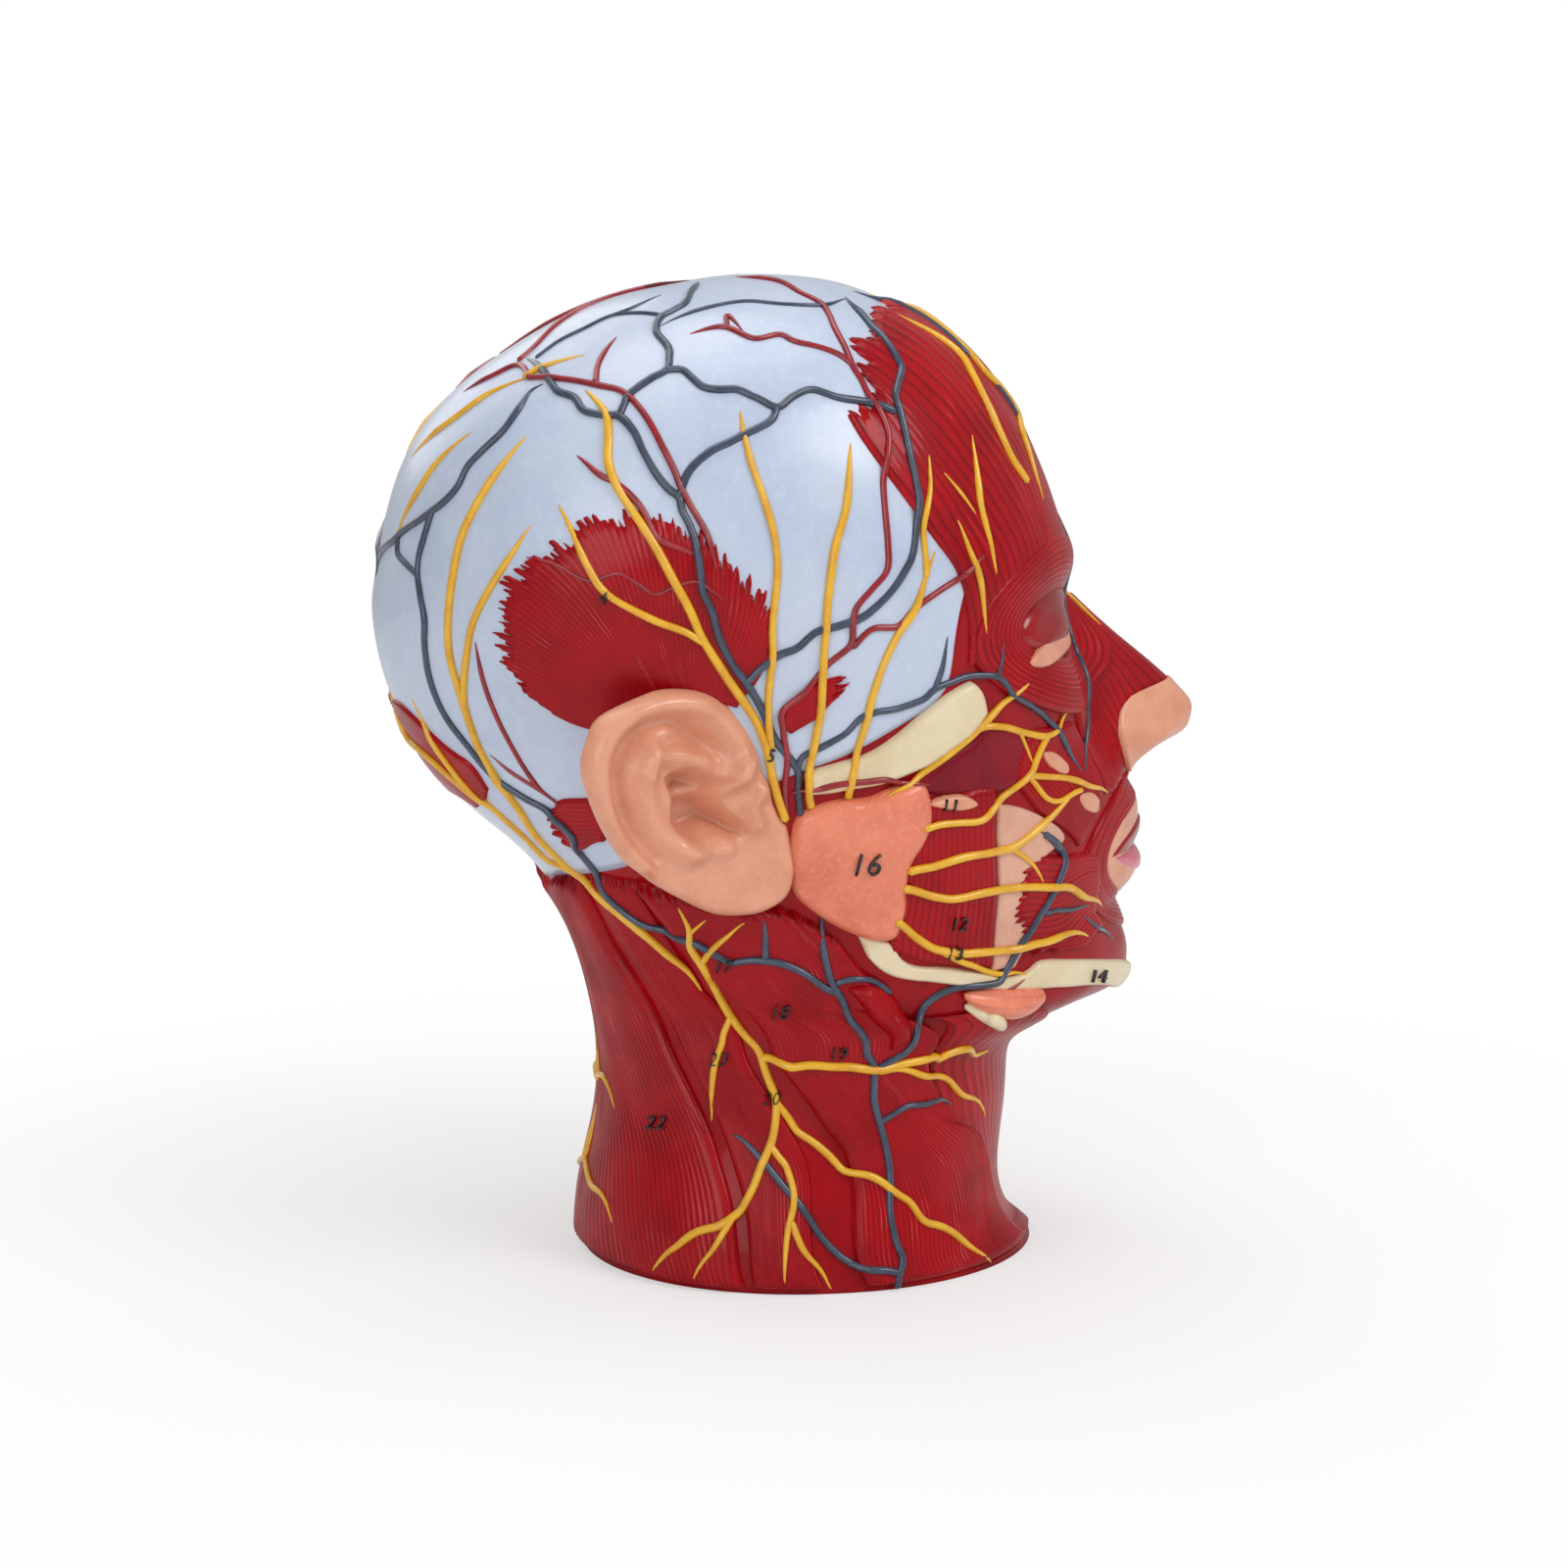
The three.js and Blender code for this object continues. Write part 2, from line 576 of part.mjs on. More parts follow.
placePair('eyelids', faceRelief(ovalShares(lidShares), thickness.lid), 'flesh');
placePair('orbicularis_oculi', faceRelief(ovalShares(ringShares), thickness.ring), 'muscle');
place('nose_tip', faceRelief(ovalShares(noseCapShares), thickness.nose), 'flesh');
place('lips', faceRelief(ovalShares(lipShares), thickness.lips), 'flesh');
place('frontalis', acrossRelief(outlinePx.frontalis, thickness.frontalis), 'muscle');
placePair('zygomatic_arch', sideRelief(outlinePx.arch, thickness.arch), 'bone');
placePair('parotid_gland', sideRelief(outlinePx.parotid, thickness.parotid), 'gland');
placePair('masseter', sideRelief(outlinePx.masseter, thickness.masseter), 'muscle');
placePair('buccal_strip', sideRelief(outlinePx.buccal, thickness.buccal), 'buccal');
placePair('zygomatic_muscle', sideRelief(outlinePx.zygomatic, thickness.strap), 'muscle');
place('mandible', acrossRelief(outlinePx.mandible, thickness.mandible), 'bone');
placePair('submandibular_gland', sideRelief(outlinePx.gland, thickness.gland), 'gland');
place('hyoid', faceRelief(ovalShares(hyoidShares), thickness.hyoid), 'bone');
placePair('superior_auricular', sideRelief(outlinePx.fan, thickness.fan), 'muscle');
placePair('anterior_auricular', sideRelief(outlinePx.forward, thickness.strap), 'muscle');
placePair('posterior_auricular', sideRelief(outlinePx.behind, thickness.strap), 'muscle');
placePair('occipitalis', sideRelief(outlinePx.occipital, thickness.strap), 'muscle');
placePair('sternocleidomastoid', sideRelief(outlinePx.sternomastoid, thickness.sternomastoid), 'muscle');
place('trapezius', acrossRelief(outlinePx.nape, thickness.nape), 'muscle');
place('infrahyoid_straps', faceRelief(throatShares, thickness.throat), 'muscle');

const shellMesh = new THREE.Mesh(headSkin(0));
const caster = new THREE.Raycaster();
function hitOn(meshes, point) {
  caster.set(eye, rayThrough(point));
  return caster.intersectObjects(meshes, false)[0];
}

// Ear: a tilted plate with a raised rim and a deep bowl, on a root that meets the side of the head
const earPx = [
  [595, 788], [601, 753], [615, 731], [650, 712], [680, 704], [718, 706], [745, 716], [758, 733],
  [766, 752], [772, 775], [776, 805], [784, 840], [793, 876], [789, 911], [775, 929], [757, 933],
  [727, 931], [692, 915], [660, 896], [630, 872], [607, 833],
];
const earRimPx = [
  [618, 790], [623, 763], [645, 740], [680, 727], [712, 728], [738, 744], [750, 778], [752, 800],
  [750, 838], [762, 862], [740, 880], [705, 880], [672, 862], [646, 846], [628, 820],
];
const earBowlPx = [
  [676, 792], [681, 838], [704, 862], [738, 858], [758, 846], [736, 812], [744, 792], [710, 782],
];
const earLobePx = [[640, 868], [672, 858], [762, 872], [830, 860], [830, 960], [640, 960]];
const earCentrePx = [702, 822];
function makeEar() {
  const side = hitOn([shellMesh], earCentrePx).point.x;
  const tilt = THREE.MathUtils.degToRad(ear.tilt);
  const outward = new THREE.Vector3(-Math.cos(tilt), -Math.sin(tilt), 0);
  const plane = new THREE.Plane();
  plane.setFromNormalAndCoplanarPoint(outward, onSidePlane(earCentrePx, side - ear.standOff));
  const onEar = (point) => new THREE.Ray(eye, rayThrough(point)).intersectPlane(plane, new THREE.Vector3());
  const slab = (outline, low, high) => {
    const at = (height) => (point) => onEar(point).addScaledVector(outward, height);
    return blockBetween(anticlockwise(outline), at(low), at(high));
  };
  const rootPx = anticlockwise(grown(earBowlPx, ear.bowlWall / perPx));
  const root = blockBetween(rootPx, onEar, (point) => onSidePlane(point, side + ear.rootSink));
  const solid = slab(earPx, -ear.wall, ear.rimHeight)
    .subtract(slab(earRimPx, ear.foldHeight, overrun))
    .subtract(slab(earLobePx, ear.lobeHeight, overrun))
    .add(root)
    .subtract(sightBlock(earBowlPx, outerX, 0).subtract(headSolid(ear.bowlFloor)))
    .subtract(headSolid(clearance));
  return largestBody(solid);
}
placePair('ear', makeEar(), 'flesh');

// Nerves and vessels: cords that lie on whatever is under them, later ones over earlier ones
const laid = [];

function raisedOver(point) {
  const reach = lookAroundShare * cordStep / perPx;
  let raised = 0;
  for (const [dx, dy] of [[0, 0], [reach, 0], [-reach, 0], [0, reach], [0, -reach]]) {
    const beside = [point[0] + dx, point[1] + dy];
    const under = hitOn([shellMesh], beside);
    const over = under && hitOn(reliefMeshes, beside);
    if (over && over.distance < under.distance) {
      raised = Math.max(raised, over.point.clone().sub(under.point).dot(under.face.normal));
    }
  }
  return raised;
}

// Raises both ends of a stretch until its middle clears the surface under it. An end that is joined
// to another cord stays, and the other end rises for both
function clearBetween(one, two, radius) {
  for (const share of [0.25, 0.5, 0.75]) {
    const point = one.at.map((value, axis) => THREE.MathUtils.lerp(value, two.at[axis], share));
    const under = hitOn([shellMesh], point);
    const over = hitOn([shellMesh, ...reliefMeshes], point);
    if (under && over) {
      const alike = over.face.normal.dot(under.face.normal) > Math.cos(Math.PI / 3);
      const normal = alike ? over.face.normal : under.face.normal;
      const ends = [one, two].map(centreOf);
      const middle = ends[0].lerp(ends[1], share);
      const height = middle.sub(over.point).dot(normal);
      const missing = clearance + radius - height;
      if (missing > 0 && one.joined) {
        two.rise += missing / share;
      } else if (missing > 0) {
        one.rise += missing;
        two.rise += missing;
      }
    }
  }
}

const centreOf = (spot) => spot.foot.clone().addScaledVector(spot.normal, spot.rise);

// The nearest place to a point on the middle lines of the cords that are already in the tree
function nearestOn(lines, point) {
  const places = lines.flatMap((line) => line.slice(1).map((end, k) => (
    new THREE.Line3(line[k], end).closestPointToPoint(point, true, new THREE.Vector3())
  )));
  return places.sort((a, b) => a.distanceTo(point) - b.distanceTo(point))[0];
}

// One cord along a route, joined to the tree's earlier lines where it has any
function cord(route, radius, tree, lines) {
  const spline = new THREE.SplineCurve(route.map(([x, y]) => new THREE.Vector2(x, y)));
  const steps = Math.max(Math.round(spline.getLength() * perPx / cordStep), 2);
  const spots = [];
  for (const { x, y } of spline.getSpacedPoints(steps)) {
    const hit = hitOn([shellMesh], [x, y]);
    if (hit && hit.point.x < -(radius + clearance)) {
      const normal = hit.face.normal.clone();
      let rise = raisedOver([x, y]) + cordSeat + radius;
      for (const other of laid) {
        const near = radius + other.radius + clearance + crossingShare * cordStep;
        if (other.tree !== tree && other.foot.distanceTo(hit.point) < near) {
          rise = Math.max(rise, other.rise + other.radius + cordSeat + radius);
        }
      }
      spots.push({ at: [x, y], foot: hit.point.clone(), normal, rise, radius, tree });
    }
  }
  if (lines.length > 0) {
    const [first] = spots;
    first.foot = nearestOn(lines, centreOf(first)).addScaledVector(first.normal, -first.rise);
    first.joined = true;
  }
  for (let k = 0; k < spots.length - 1; k += 1) clearBetween(spots[k], spots[k + 1], radius);
  laid.push(...spots);
  const centres = spots.map(centreOf);
  lines.push(centres);
  const positions = [];
  const faces = [];
  centres.forEach((centre, k) => {
    const ahead = centres[Math.min(k + 1, centres.length - 1)].clone();
    const along = ahead.sub(centres[Math.max(k - 1, 0)]).normalize();
    const side = along.clone().cross(spots[k].normal).normalize();
    const up = side.clone().cross(along);
    const girth = radius * (1 - cordTaperShare * k / (centres.length - 1));
    for (let j = 0; j < cordSides; j += 1) {
      const angle = 2 * Math.PI * j / cordSides;
      const corner = centre.clone().addScaledVector(side, girth * Math.cos(angle))
        .addScaledVector(up, girth * Math.sin(angle));
      positions.push(...corner.toArray());
    }
  });
  for (let k = 0; k < centres.length - 1; k += 1) {
    for (let j = 0; j < cordSides; j += 1) {
      const a = k * cordSides + j;
      const b = k * cordSides + (j + 1) % cordSides;
      faces.push(a, b, b + cordSides, a, b + cordSides, a + cordSides);
    }
  }
  const last = (centres.length - 1) * cordSides;
  for (let j = 1; j < cordSides - 1; j += 1) faces.push(0, j + 1, j, last, last + j, last + j + 1);
  const geometry = new THREE.BufferGeometry();
  geometry.setAttribute('position', new THREE.Float32BufferAttribute(positions, 3));
  geometry.setIndex(faces);
  return toSolid(signedVolume(geometry) < 0 ? turnedInsideOut(geometry) : geometry);
}

// Each tree's kind and its routes in picture points, the trunk first
const cordRoutePx = {
  temporal_artery: ['artery', [
    [[800, 790], [799, 746], [802, 722], [846, 677], [868, 655], [874, 620], [903, 580], [903, 521],
      [901, 480], [900, 435], [878, 387], [852, 336], [814, 300], [770, 288]],
    [[870, 373], [833, 354], [790, 344], [742, 335], [704, 341]],
    [[871, 640], [900, 640], [935, 620], [975, 592], [1000, 568]],
  ]],
  scalp_veins: ['vein', [
    [[538, 366], [562, 390], [596, 419], [632, 425], [656, 460], [682, 499], [704, 537], [717, 604],
      [745, 674], [779, 727], [800, 765]],
    [[632, 425], [642, 403], [680, 378], [674, 330], [701, 307], [712, 288]],
    [[680, 378], [717, 395], [771, 406], [809, 405], [855, 406], [909, 422]],
    [[761, 696], [796, 668], [855, 639], [909, 604], [931, 562], [931, 500], [916, 422], [913, 378],
      [893, 339], [863, 307]],
    [[562, 390], [529, 419], [478, 476], [442, 521], [401, 553], [384, 580]],
    [[442, 521], [429, 580], [434, 658], [458, 735], [509, 796], [564, 829], [592, 869], [612, 897]],
  ]],
  jugular_vein: ['vein', [
    [[640, 925], [685, 950], [750, 976], [819, 987], [855, 1010], [881, 1068], [888, 1125], [902, 1195],
      [906, 1255], [914, 1290]],
    [[912, 1284], [870, 1286], [838, 1262], [796, 1206], [750, 1157]],
  ]],
  facial_vein: ['vein', [
    [[1105, 735], [1091, 768], [1075, 815], [1066, 850], [1080, 885], [1056, 934], [1024, 991], [970, 1012],
      [941, 1029], [920, 1062]],
  ]],
  auriculotemporal_nerve: ['nerve', [
    [[806, 800], [782, 750], [739, 687], [704, 623], [666, 553], [621, 473], [597, 398]],
    [[704, 623], [669, 633], [615, 601], [585, 547], [570, 515]],
    [[790, 762], [788, 700], [791, 600], [780, 511], [755, 419]],
  ]],
  temporal_branch: ['nerve', [
    [[866, 802], [878, 755], [903, 674], [935, 617], [954, 563]],
    [[935, 617], [941, 560], [945, 480]],
  ]],
  zygomatic_branch: ['nerve', [
    [[935, 793], [980, 758], [1021, 741], [1063, 750], [1084, 728]],
    [[1063, 750], [1047, 790], [1069, 795], [1128, 809]],
  ]],
  buccal_branch: ['nerve', [
    [[928, 884], [973, 874], [1031, 864], [1072, 829], [1095, 800]],
    [[990, 872], [1040, 905], [1088, 905], [1120, 923]],
  ]],
  supraorbital_nerve: ['nerve', [
    [[1067, 540], [1043, 470], [999, 395], [945, 346], [900, 318]],
    [[1043, 470], [1015, 470], [990, 430]],
  ]],
  occipital_nerve: ['nerve', [
    [[701, 987], [653, 942], [608, 904], [554, 859], [509, 796], [470, 706], [462, 594], [487, 515],
      [537, 446]],
    [[490, 768], [440, 735], [407, 705]],
  ]],
  cervical_plexus: ['nerve', [
    [[698, 925], [710, 961], [745, 1035], [787, 1108], [789, 1160], [767, 1217], [732, 1252], [683, 1285]],
    [[777, 1079], [852, 1085], [922, 1078], [985, 1072]],
    [[792, 1125], [845, 1178], [901, 1211], [960, 1258]],
    [[789, 1165], [808, 1215], [804, 1255], [801, 1300]],
  ]],
};
for (const [name, [kind, routes]] of Object.entries(cordRoutePx)) {
  const lines = [];
  const tubes = routes.map((route) => cord(route, cordRadius[kind], name, lines));
  placePair(name, largestBody(tubes.reduce((joined, tube) => joined.add(tube))), kind);
}

export default head;
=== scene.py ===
import math
import bpy
import numpy as np
from mathutils import Matrix


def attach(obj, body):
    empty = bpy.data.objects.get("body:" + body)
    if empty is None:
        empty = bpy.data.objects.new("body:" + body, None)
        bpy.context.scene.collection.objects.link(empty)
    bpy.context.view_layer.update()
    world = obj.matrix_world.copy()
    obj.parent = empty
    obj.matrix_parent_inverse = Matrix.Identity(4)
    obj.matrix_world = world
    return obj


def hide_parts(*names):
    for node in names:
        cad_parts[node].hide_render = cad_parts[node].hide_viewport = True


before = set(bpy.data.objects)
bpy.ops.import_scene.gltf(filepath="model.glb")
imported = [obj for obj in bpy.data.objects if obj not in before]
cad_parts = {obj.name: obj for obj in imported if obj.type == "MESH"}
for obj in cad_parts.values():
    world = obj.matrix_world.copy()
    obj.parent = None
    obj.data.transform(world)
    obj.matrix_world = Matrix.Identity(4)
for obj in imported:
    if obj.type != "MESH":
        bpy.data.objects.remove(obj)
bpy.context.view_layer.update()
print("frame loaded:", len(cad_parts), "nodes")

# The head's driving sizes in metres, with +Z up, the face towards -Y and the head's right side at -X
head = {
    "skullLength": 0.193, "skullBreadth": 0.152, "modelHeight": 0.267,
    "faceDepth": 0.010, "noseBreadth": 0.034, "mouthBreadth": 0.050,
}
# The photograph's view: the camera stands turned behind the exact right side and a little above
photo = {
    "turn": math.radians(11), "rise": math.radians(9), "distance": 0.950, "size": 1600, "middle": 800,
    "skullSpan": 700, "heightSpan": 974, "aimUp": 0.478, "aimBack": 0.028, "sensor": 36, "near": 0.05,
    "far": 20,
}
acrossScale = head["skullLength"] * math.cos(photo["turn"]) / photo["skullSpan"]
upScale = head["modelHeight"] * math.cos(photo["rise"]) / photo["heightSpan"]
viewBack = np.array([
    -math.cos(photo["turn"]) * math.cos(photo["rise"]),
    math.sin(photo["turn"]) * math.cos(photo["rise"]),
    math.sin(photo["rise"]),
])
viewRight = np.array([-math.sin(photo["turn"]), -math.cos(photo["turn"]), 0])
viewUp = np.cross(viewBack, viewRight)
aim = np.array([0, photo["aimBack"] * head["skullLength"], photo["aimUp"] * head["modelHeight"]])
eye = aim + viewBack * photo["distance"]


def onPlane(points, seat, normal):
    # where the sight lines through picture points meet the plane through the seat
    points = np.asarray(points, float)
    glass = aim + (points[..., :1] - photo["middle"]) * acrossScale * viewRight
    glass = glass + (photo["middle"] - points[..., 1:]) * upScale * viewUp
    line = glass - eye
    return eye + line * (((seat - eye) @ normal) / (line @ normal))[..., None]


def onMidPlane(points):
    # the same on the head's middle plane, where x is 0
    return onPlane(points, np.zeros(3), np.array([1.0, 0, 0]))


def toPicture(points):
    # picture point of each place: its sight line cut by the glass at the aim, measured along right and up
    line = points - eye
    depth = -(line @ viewBack)[..., None]
    glass = line * photo["distance"] / depth + eye - aim
    across = glass @ viewRight / acrossScale + photo["middle"]
    return np.stack([across, photo["middle"] - glass @ viewUp / upScale], -1)


def smoothTable(points):
    # monotone cubic through [place, value] points: each slope is the harmonic mean of its two chords
    places, values = np.array(sorted(map(tuple, points)), float).T
    chords = np.diff(values) / np.diff(places)
    before, after = chords[:-1], chords[1:]
    alike = before * after > 0
    inner = np.where(alike, 2 * before * after / np.where(alike, before + after, 1), 0)
    slopes = np.concatenate([chords[:1], inner, chords[-1:]])

    def valueAt(place):
        # the straight line between two points, bent so that it starts and ends on their slopes
        held = np.clip(place, places[0], places[-1])
        k = np.clip(np.searchsorted(places, held) - 1, 0, len(places) - 2)
        span = places[k + 1] - places[k]
        t = (held - places[k]) / span
        rise = values[k + 1] - values[k]
        bend = (1 - t) * (slopes[k] * span - rise) - t * (slopes[k + 1] * span - rise)
        return values[k] + rise * t + t * (1 - t) * bend
    return valueAt


def softTable(points, low, high, spread, samples=2400):
    # the smooth table blurred by a bell of that spread, and carried past its ends by turning it about them
    table = smoothTable(points)
    step = (high - low) / samples
    reach = int(4 * spread / step)
    places = low + step * np.arange(-reach, samples + reach + 1)
    folded = np.where(places < low, 2 * low - places, np.where(places > high, 2 * high - places, places))
    values = table(folded)
    values = np.where(places < low, 2 * table(low) - values, values)
    values = np.where(places > high, 2 * table(high) - values, values)
    weights = np.exp(-0.5 * (np.arange(-reach, reach + 1) * step / spread) ** 2)
    soft = np.convolve(values, weights / weights.sum(), "valid")
    inner = low + step * np.arange(samples + 1)
    return lambda place: np.interp(place, inner, soft)


def depthOf(z):
    # depth below the crown as a share whose square is the height lost, so that the dome stays round
    return np.sqrt(np.clip(1 - np.asarray(z) / head["modelHeight"], 0, 1))


# How far each table is blurred along the depth, as a share of it
spreads = {"profile": 0.008, "ridge": 0.0025, "width": 0.012, "widest": 0.02, "fullness": 0.03, "edge": 0.02}
# Mid-plane outlines in picture points: skull, face and neck without nose, lips and chin, then those
frontPx = [
    (770, 279), (840, 285), (896, 304), (934, 322), (962, 341), (999, 380), (1024, 420), (1042, 460),
    (1057, 500), (1067, 540), (1070, 570), (1074, 600), (1082, 640), (1097, 700), (1117, 750), (1138, 785),
    (1141, 830), (1137, 870), (1131, 905), (1135, 940), (1138, 975), (1128, 997), (1106, 1007),
    (1062, 1016), (1034, 1030), (1018, 1050), (1016, 1100), (1010, 1140), (1006, 1180), (1014, 1215),
    (1029, 1240), (1043, 1262),
]
backPx = [
    (770, 279), (700, 287), (632, 301), (581, 321), (545, 341), (514, 361), (486, 381), (445, 421),
    (418, 461), (402, 501), (392, 541), (385, 581), (380, 621), (385, 661), (396, 701), (414, 741),
    (439, 781), (478, 821), (528, 861), (563, 901), (587, 941), (602, 981), (612, 1021), (619, 1061),
    (620, 1101), (616, 1141), (607, 1181), (599, 1221), (596, 1262),
]
noseRidgePx = [
    (1076, 596), (1090, 605), (1112, 625), (1140, 650), (1170, 675), (1195, 698), (1213, 720), (1209, 738),
    (1182, 755), (1158, 772), (1140, 788),
]
lipRidgePx = [(1140, 788), (1154, 815), (1155, 838), (1147, 857), (1156, 872), (1150, 888), (1132, 906)]
chinRidgePx = [(1132, 906), (1138, 930), (1147, 962), (1146, 985), (1130, 1003), (1104, 1008)]


def midPlaneTable(pixels, side=1):
    # depth below the crown, counted below 0 at the back, against place from front to back
    places = onMidPlane(pixels)
    return np.stack([side * depthOf(places[:, 2]), places[:, 1]], -1)


profileOf = softTable(
    np.concatenate([midPlaneTable(frontPx), midPlaneTable(backPx[1:], -1)]), -1, 1, spreads["profile"],
)
ridges = []
for ridgePx in (noseRidgePx, lipRidgePx, chinRidgePx):
    ridgeTable = midPlaneTable(ridgePx)
    low, high = ridgeTable[:, 0].min(), ridgeTable[:, 0].max()
    ridges.append((low, high, softTable(ridgeTable, low, high, spreads["ridge"])))

# Shares of the model's height against shares of half the breadth, and against each level's widest place
widthShares = [
    (1, 0), (0.996, 0.2), (0.985, 0.37), (0.955, 0.6), (0.91, 0.79), (0.86, 0.905), (0.8, 0.97),
    (0.73, 1), (0.67, 0.985), (0.6, 0.94), (0.54, 0.89), (0.48, 0.84), (0.42, 0.79), (0.36, 0.745),
    (0.3, 0.705), (0.25, 0.675), (0.18, 0.665), (0.11, 0.7), (0.05, 0.76), (0, 0.79),
]
widestShares = [
    (1, 0.5), (0.9, 0.47), (0.75, 0.44), (0.6, 0.45), (0.5, 0.46), (0.4, 0.46), (0.3, 0.44), (0.2, 0.5),
    (0, 0.5),
]
frontFullnessShares = [(0, 2), (0.45, 2.2), (0.56, 2.3), (0.66, 2.1), (0.76, 1.9), (0.84, 1.9), (1, 2)]
backFullnessShares = [(0, 2), (0.5, 2.15), (0.75, 2.1), (1, 2.1)]


def overDepth(shares, scale=1.0):
    # height shares turned into depths below the crown
    return [(math.sqrt(1 - up), share * scale) for up, share in shares]


halfWidthOf = softTable(overDepth(widthShares, head["skullBreadth"] / 2), 0, 1, spreads["width"])
widestOf = softTable(overDepth(widestShares), 0, 1, spreads["widest"])
frontFullness = softTable(frontFullnessShares, 0, 1, spreads["fullness"])
backFullness = softTable(backFullnessShares, 0, 1, spreads["fullness"])

# Shallow forms of the face: height share, place across, spreads as shares of the half breadth, and how
# far forward, as a share of the face's depth
formShares = {
    "brow": (0.715, 0.3, 0.26, 0.1, 0.24),
    "socket": (0.652, 0.42, 0.22, 0.14, -0.9),
    "eyeball": (0.65, 0.42, 0.13, 0.1, 0.6),
    "cheekbone": (0.585, 0.62, 0.26, 0.16, 0.42),
    "noseWing": (0.522, 0.19, 0.085, 0.08, 0.62),
    "wingCrease": (0.535, 0.32, 0.06, 0.12, -0.22),
    "mouthSide": (0.42, 0.5, 0.2, 0.25, -0.2),
    "chinCrease": (0.352, 0.1, 0.25, 0.05, -0.1),
    "nostril": (0.503, 0.1, 0.045, 0.04, -0.55),
}
# Half breadths of the nose: at its wings, what it loses upwards, and the height shares between
nose = {"wing": 1.3, "narrowing": 0.75, "foot": 0.54, "top": 0.69}


def bell(reach):
    # 1 in the middle and 0 from a reach of 1 on: the square of one less the reach squared
    return np.where(np.abs(reach) < 1, (1 - reach ** 2) ** 2, 0)


def smoothStep(t):
    # from 0 to 1 with level ends: three squares less two cubes
    return t * t * (3 - 2 * t)


def headPoint(ab):
    # the head over a disk: the crown at its middle, the base at its rim, a towards the face and b to the
    # left. Each level section is two half ovals, and the face is pushed forward by ridges and low hills
    a, b = ab[..., 0], ab[..., 1]
    depth = np.hypot(a, b)
    safe = np.maximum(depth, 1e-9)
    ahead = a > 0
    z = head["modelHeight"] * (1 - depth ** 2)
    front, back = profileOf(depth), profileOf(-depth)
    middle = back + (front - back) * widestOf(depth)
    power = 2 / np.where(ahead, frontFullness(depth), backFullness(depth))
    x = halfWidthOf(depth) * np.sign(b) * np.abs(b / safe) ** power
    y = middle + (np.where(ahead, front, back) - middle) * np.abs(a / safe) ** power
    half, side = head["skullBreadth"] / 2, np.abs(x)
    risen = np.clip((z / head["modelHeight"] - nose["foot"]) / (nose["top"] - nose["foot"]), 0, 1)
    noseReach = head["noseBreadth"] / 2 * (nose["wing"] - nose["narrowing"] * smoothStep(risen))
    reaches = (noseReach, head["mouthBreadth"] / 2, head["mouthBreadth"] / 2)
    forward = np.zeros_like(x)
    for (low, high, ridge), reach in zip(ridges, reaches):
        within = (depth > low) & (depth < high)
        forward += np.where(within, np.maximum(front - ridge(depth), 0), 0) * bell(side / reach)
    facing = np.sqrt(np.clip(a / safe, 0, 1))
    for up, across, wide, tall, push in formShares.values():
        off = ((side / half - across) / wide) ** 2
        off = off + ((z / head["modelHeight"] - up) * head["modelHeight"] / half / tall) ** 2
        forward += push * head["faceDepth"] * np.exp(-off) * facing
    return np.stack([x, y - np.where(ahead, forward, 0), z], -1)


def headFrame(ab, step=0.002):
    # place and outward normal: the cross product of the two directions over the disk
    da, db = np.array([step, 0]), np.array([0, step])
    alongA = headPoint(ab + da) - headPoint(ab - da)
    alongB = headPoint(ab + db) - headPoint(ab - db)
    normal = np.cross(alongA, alongB)
    return headPoint(ab), normal / np.maximum(np.linalg.norm(normal, axis=-1, keepdims=True), 1e-12)


# A table of disk places with their picture points, for finding the place that a picture point shows
search = {
    "depths": np.linspace(0.02, 1, 130), "angles": np.linspace(-math.pi - 0.4, 0.1, 230),
    "chunk": 400, "rounds": 14, "small": 1e-4, "longest": 0.01, "flattest": 1,
}
tableDepths, tableAngles = np.meshgrid(search["depths"], search["angles"], indexing="ij")
tableAb = np.stack([tableDepths * np.cos(tableAngles), tableDepths * np.sin(tableAngles)], -1).reshape(-1, 2)
tablePoints, tableNormals = headFrame(tableAb)
tableSeen = ((eye - tablePoints) * tableNormals).sum(-1) > 0
tableAb = tableAb[tableSeen]
tablePx = toPicture(tablePoints[tableSeen])
baseDepth = 0.9985  # the lowest depth that a picture point may reach


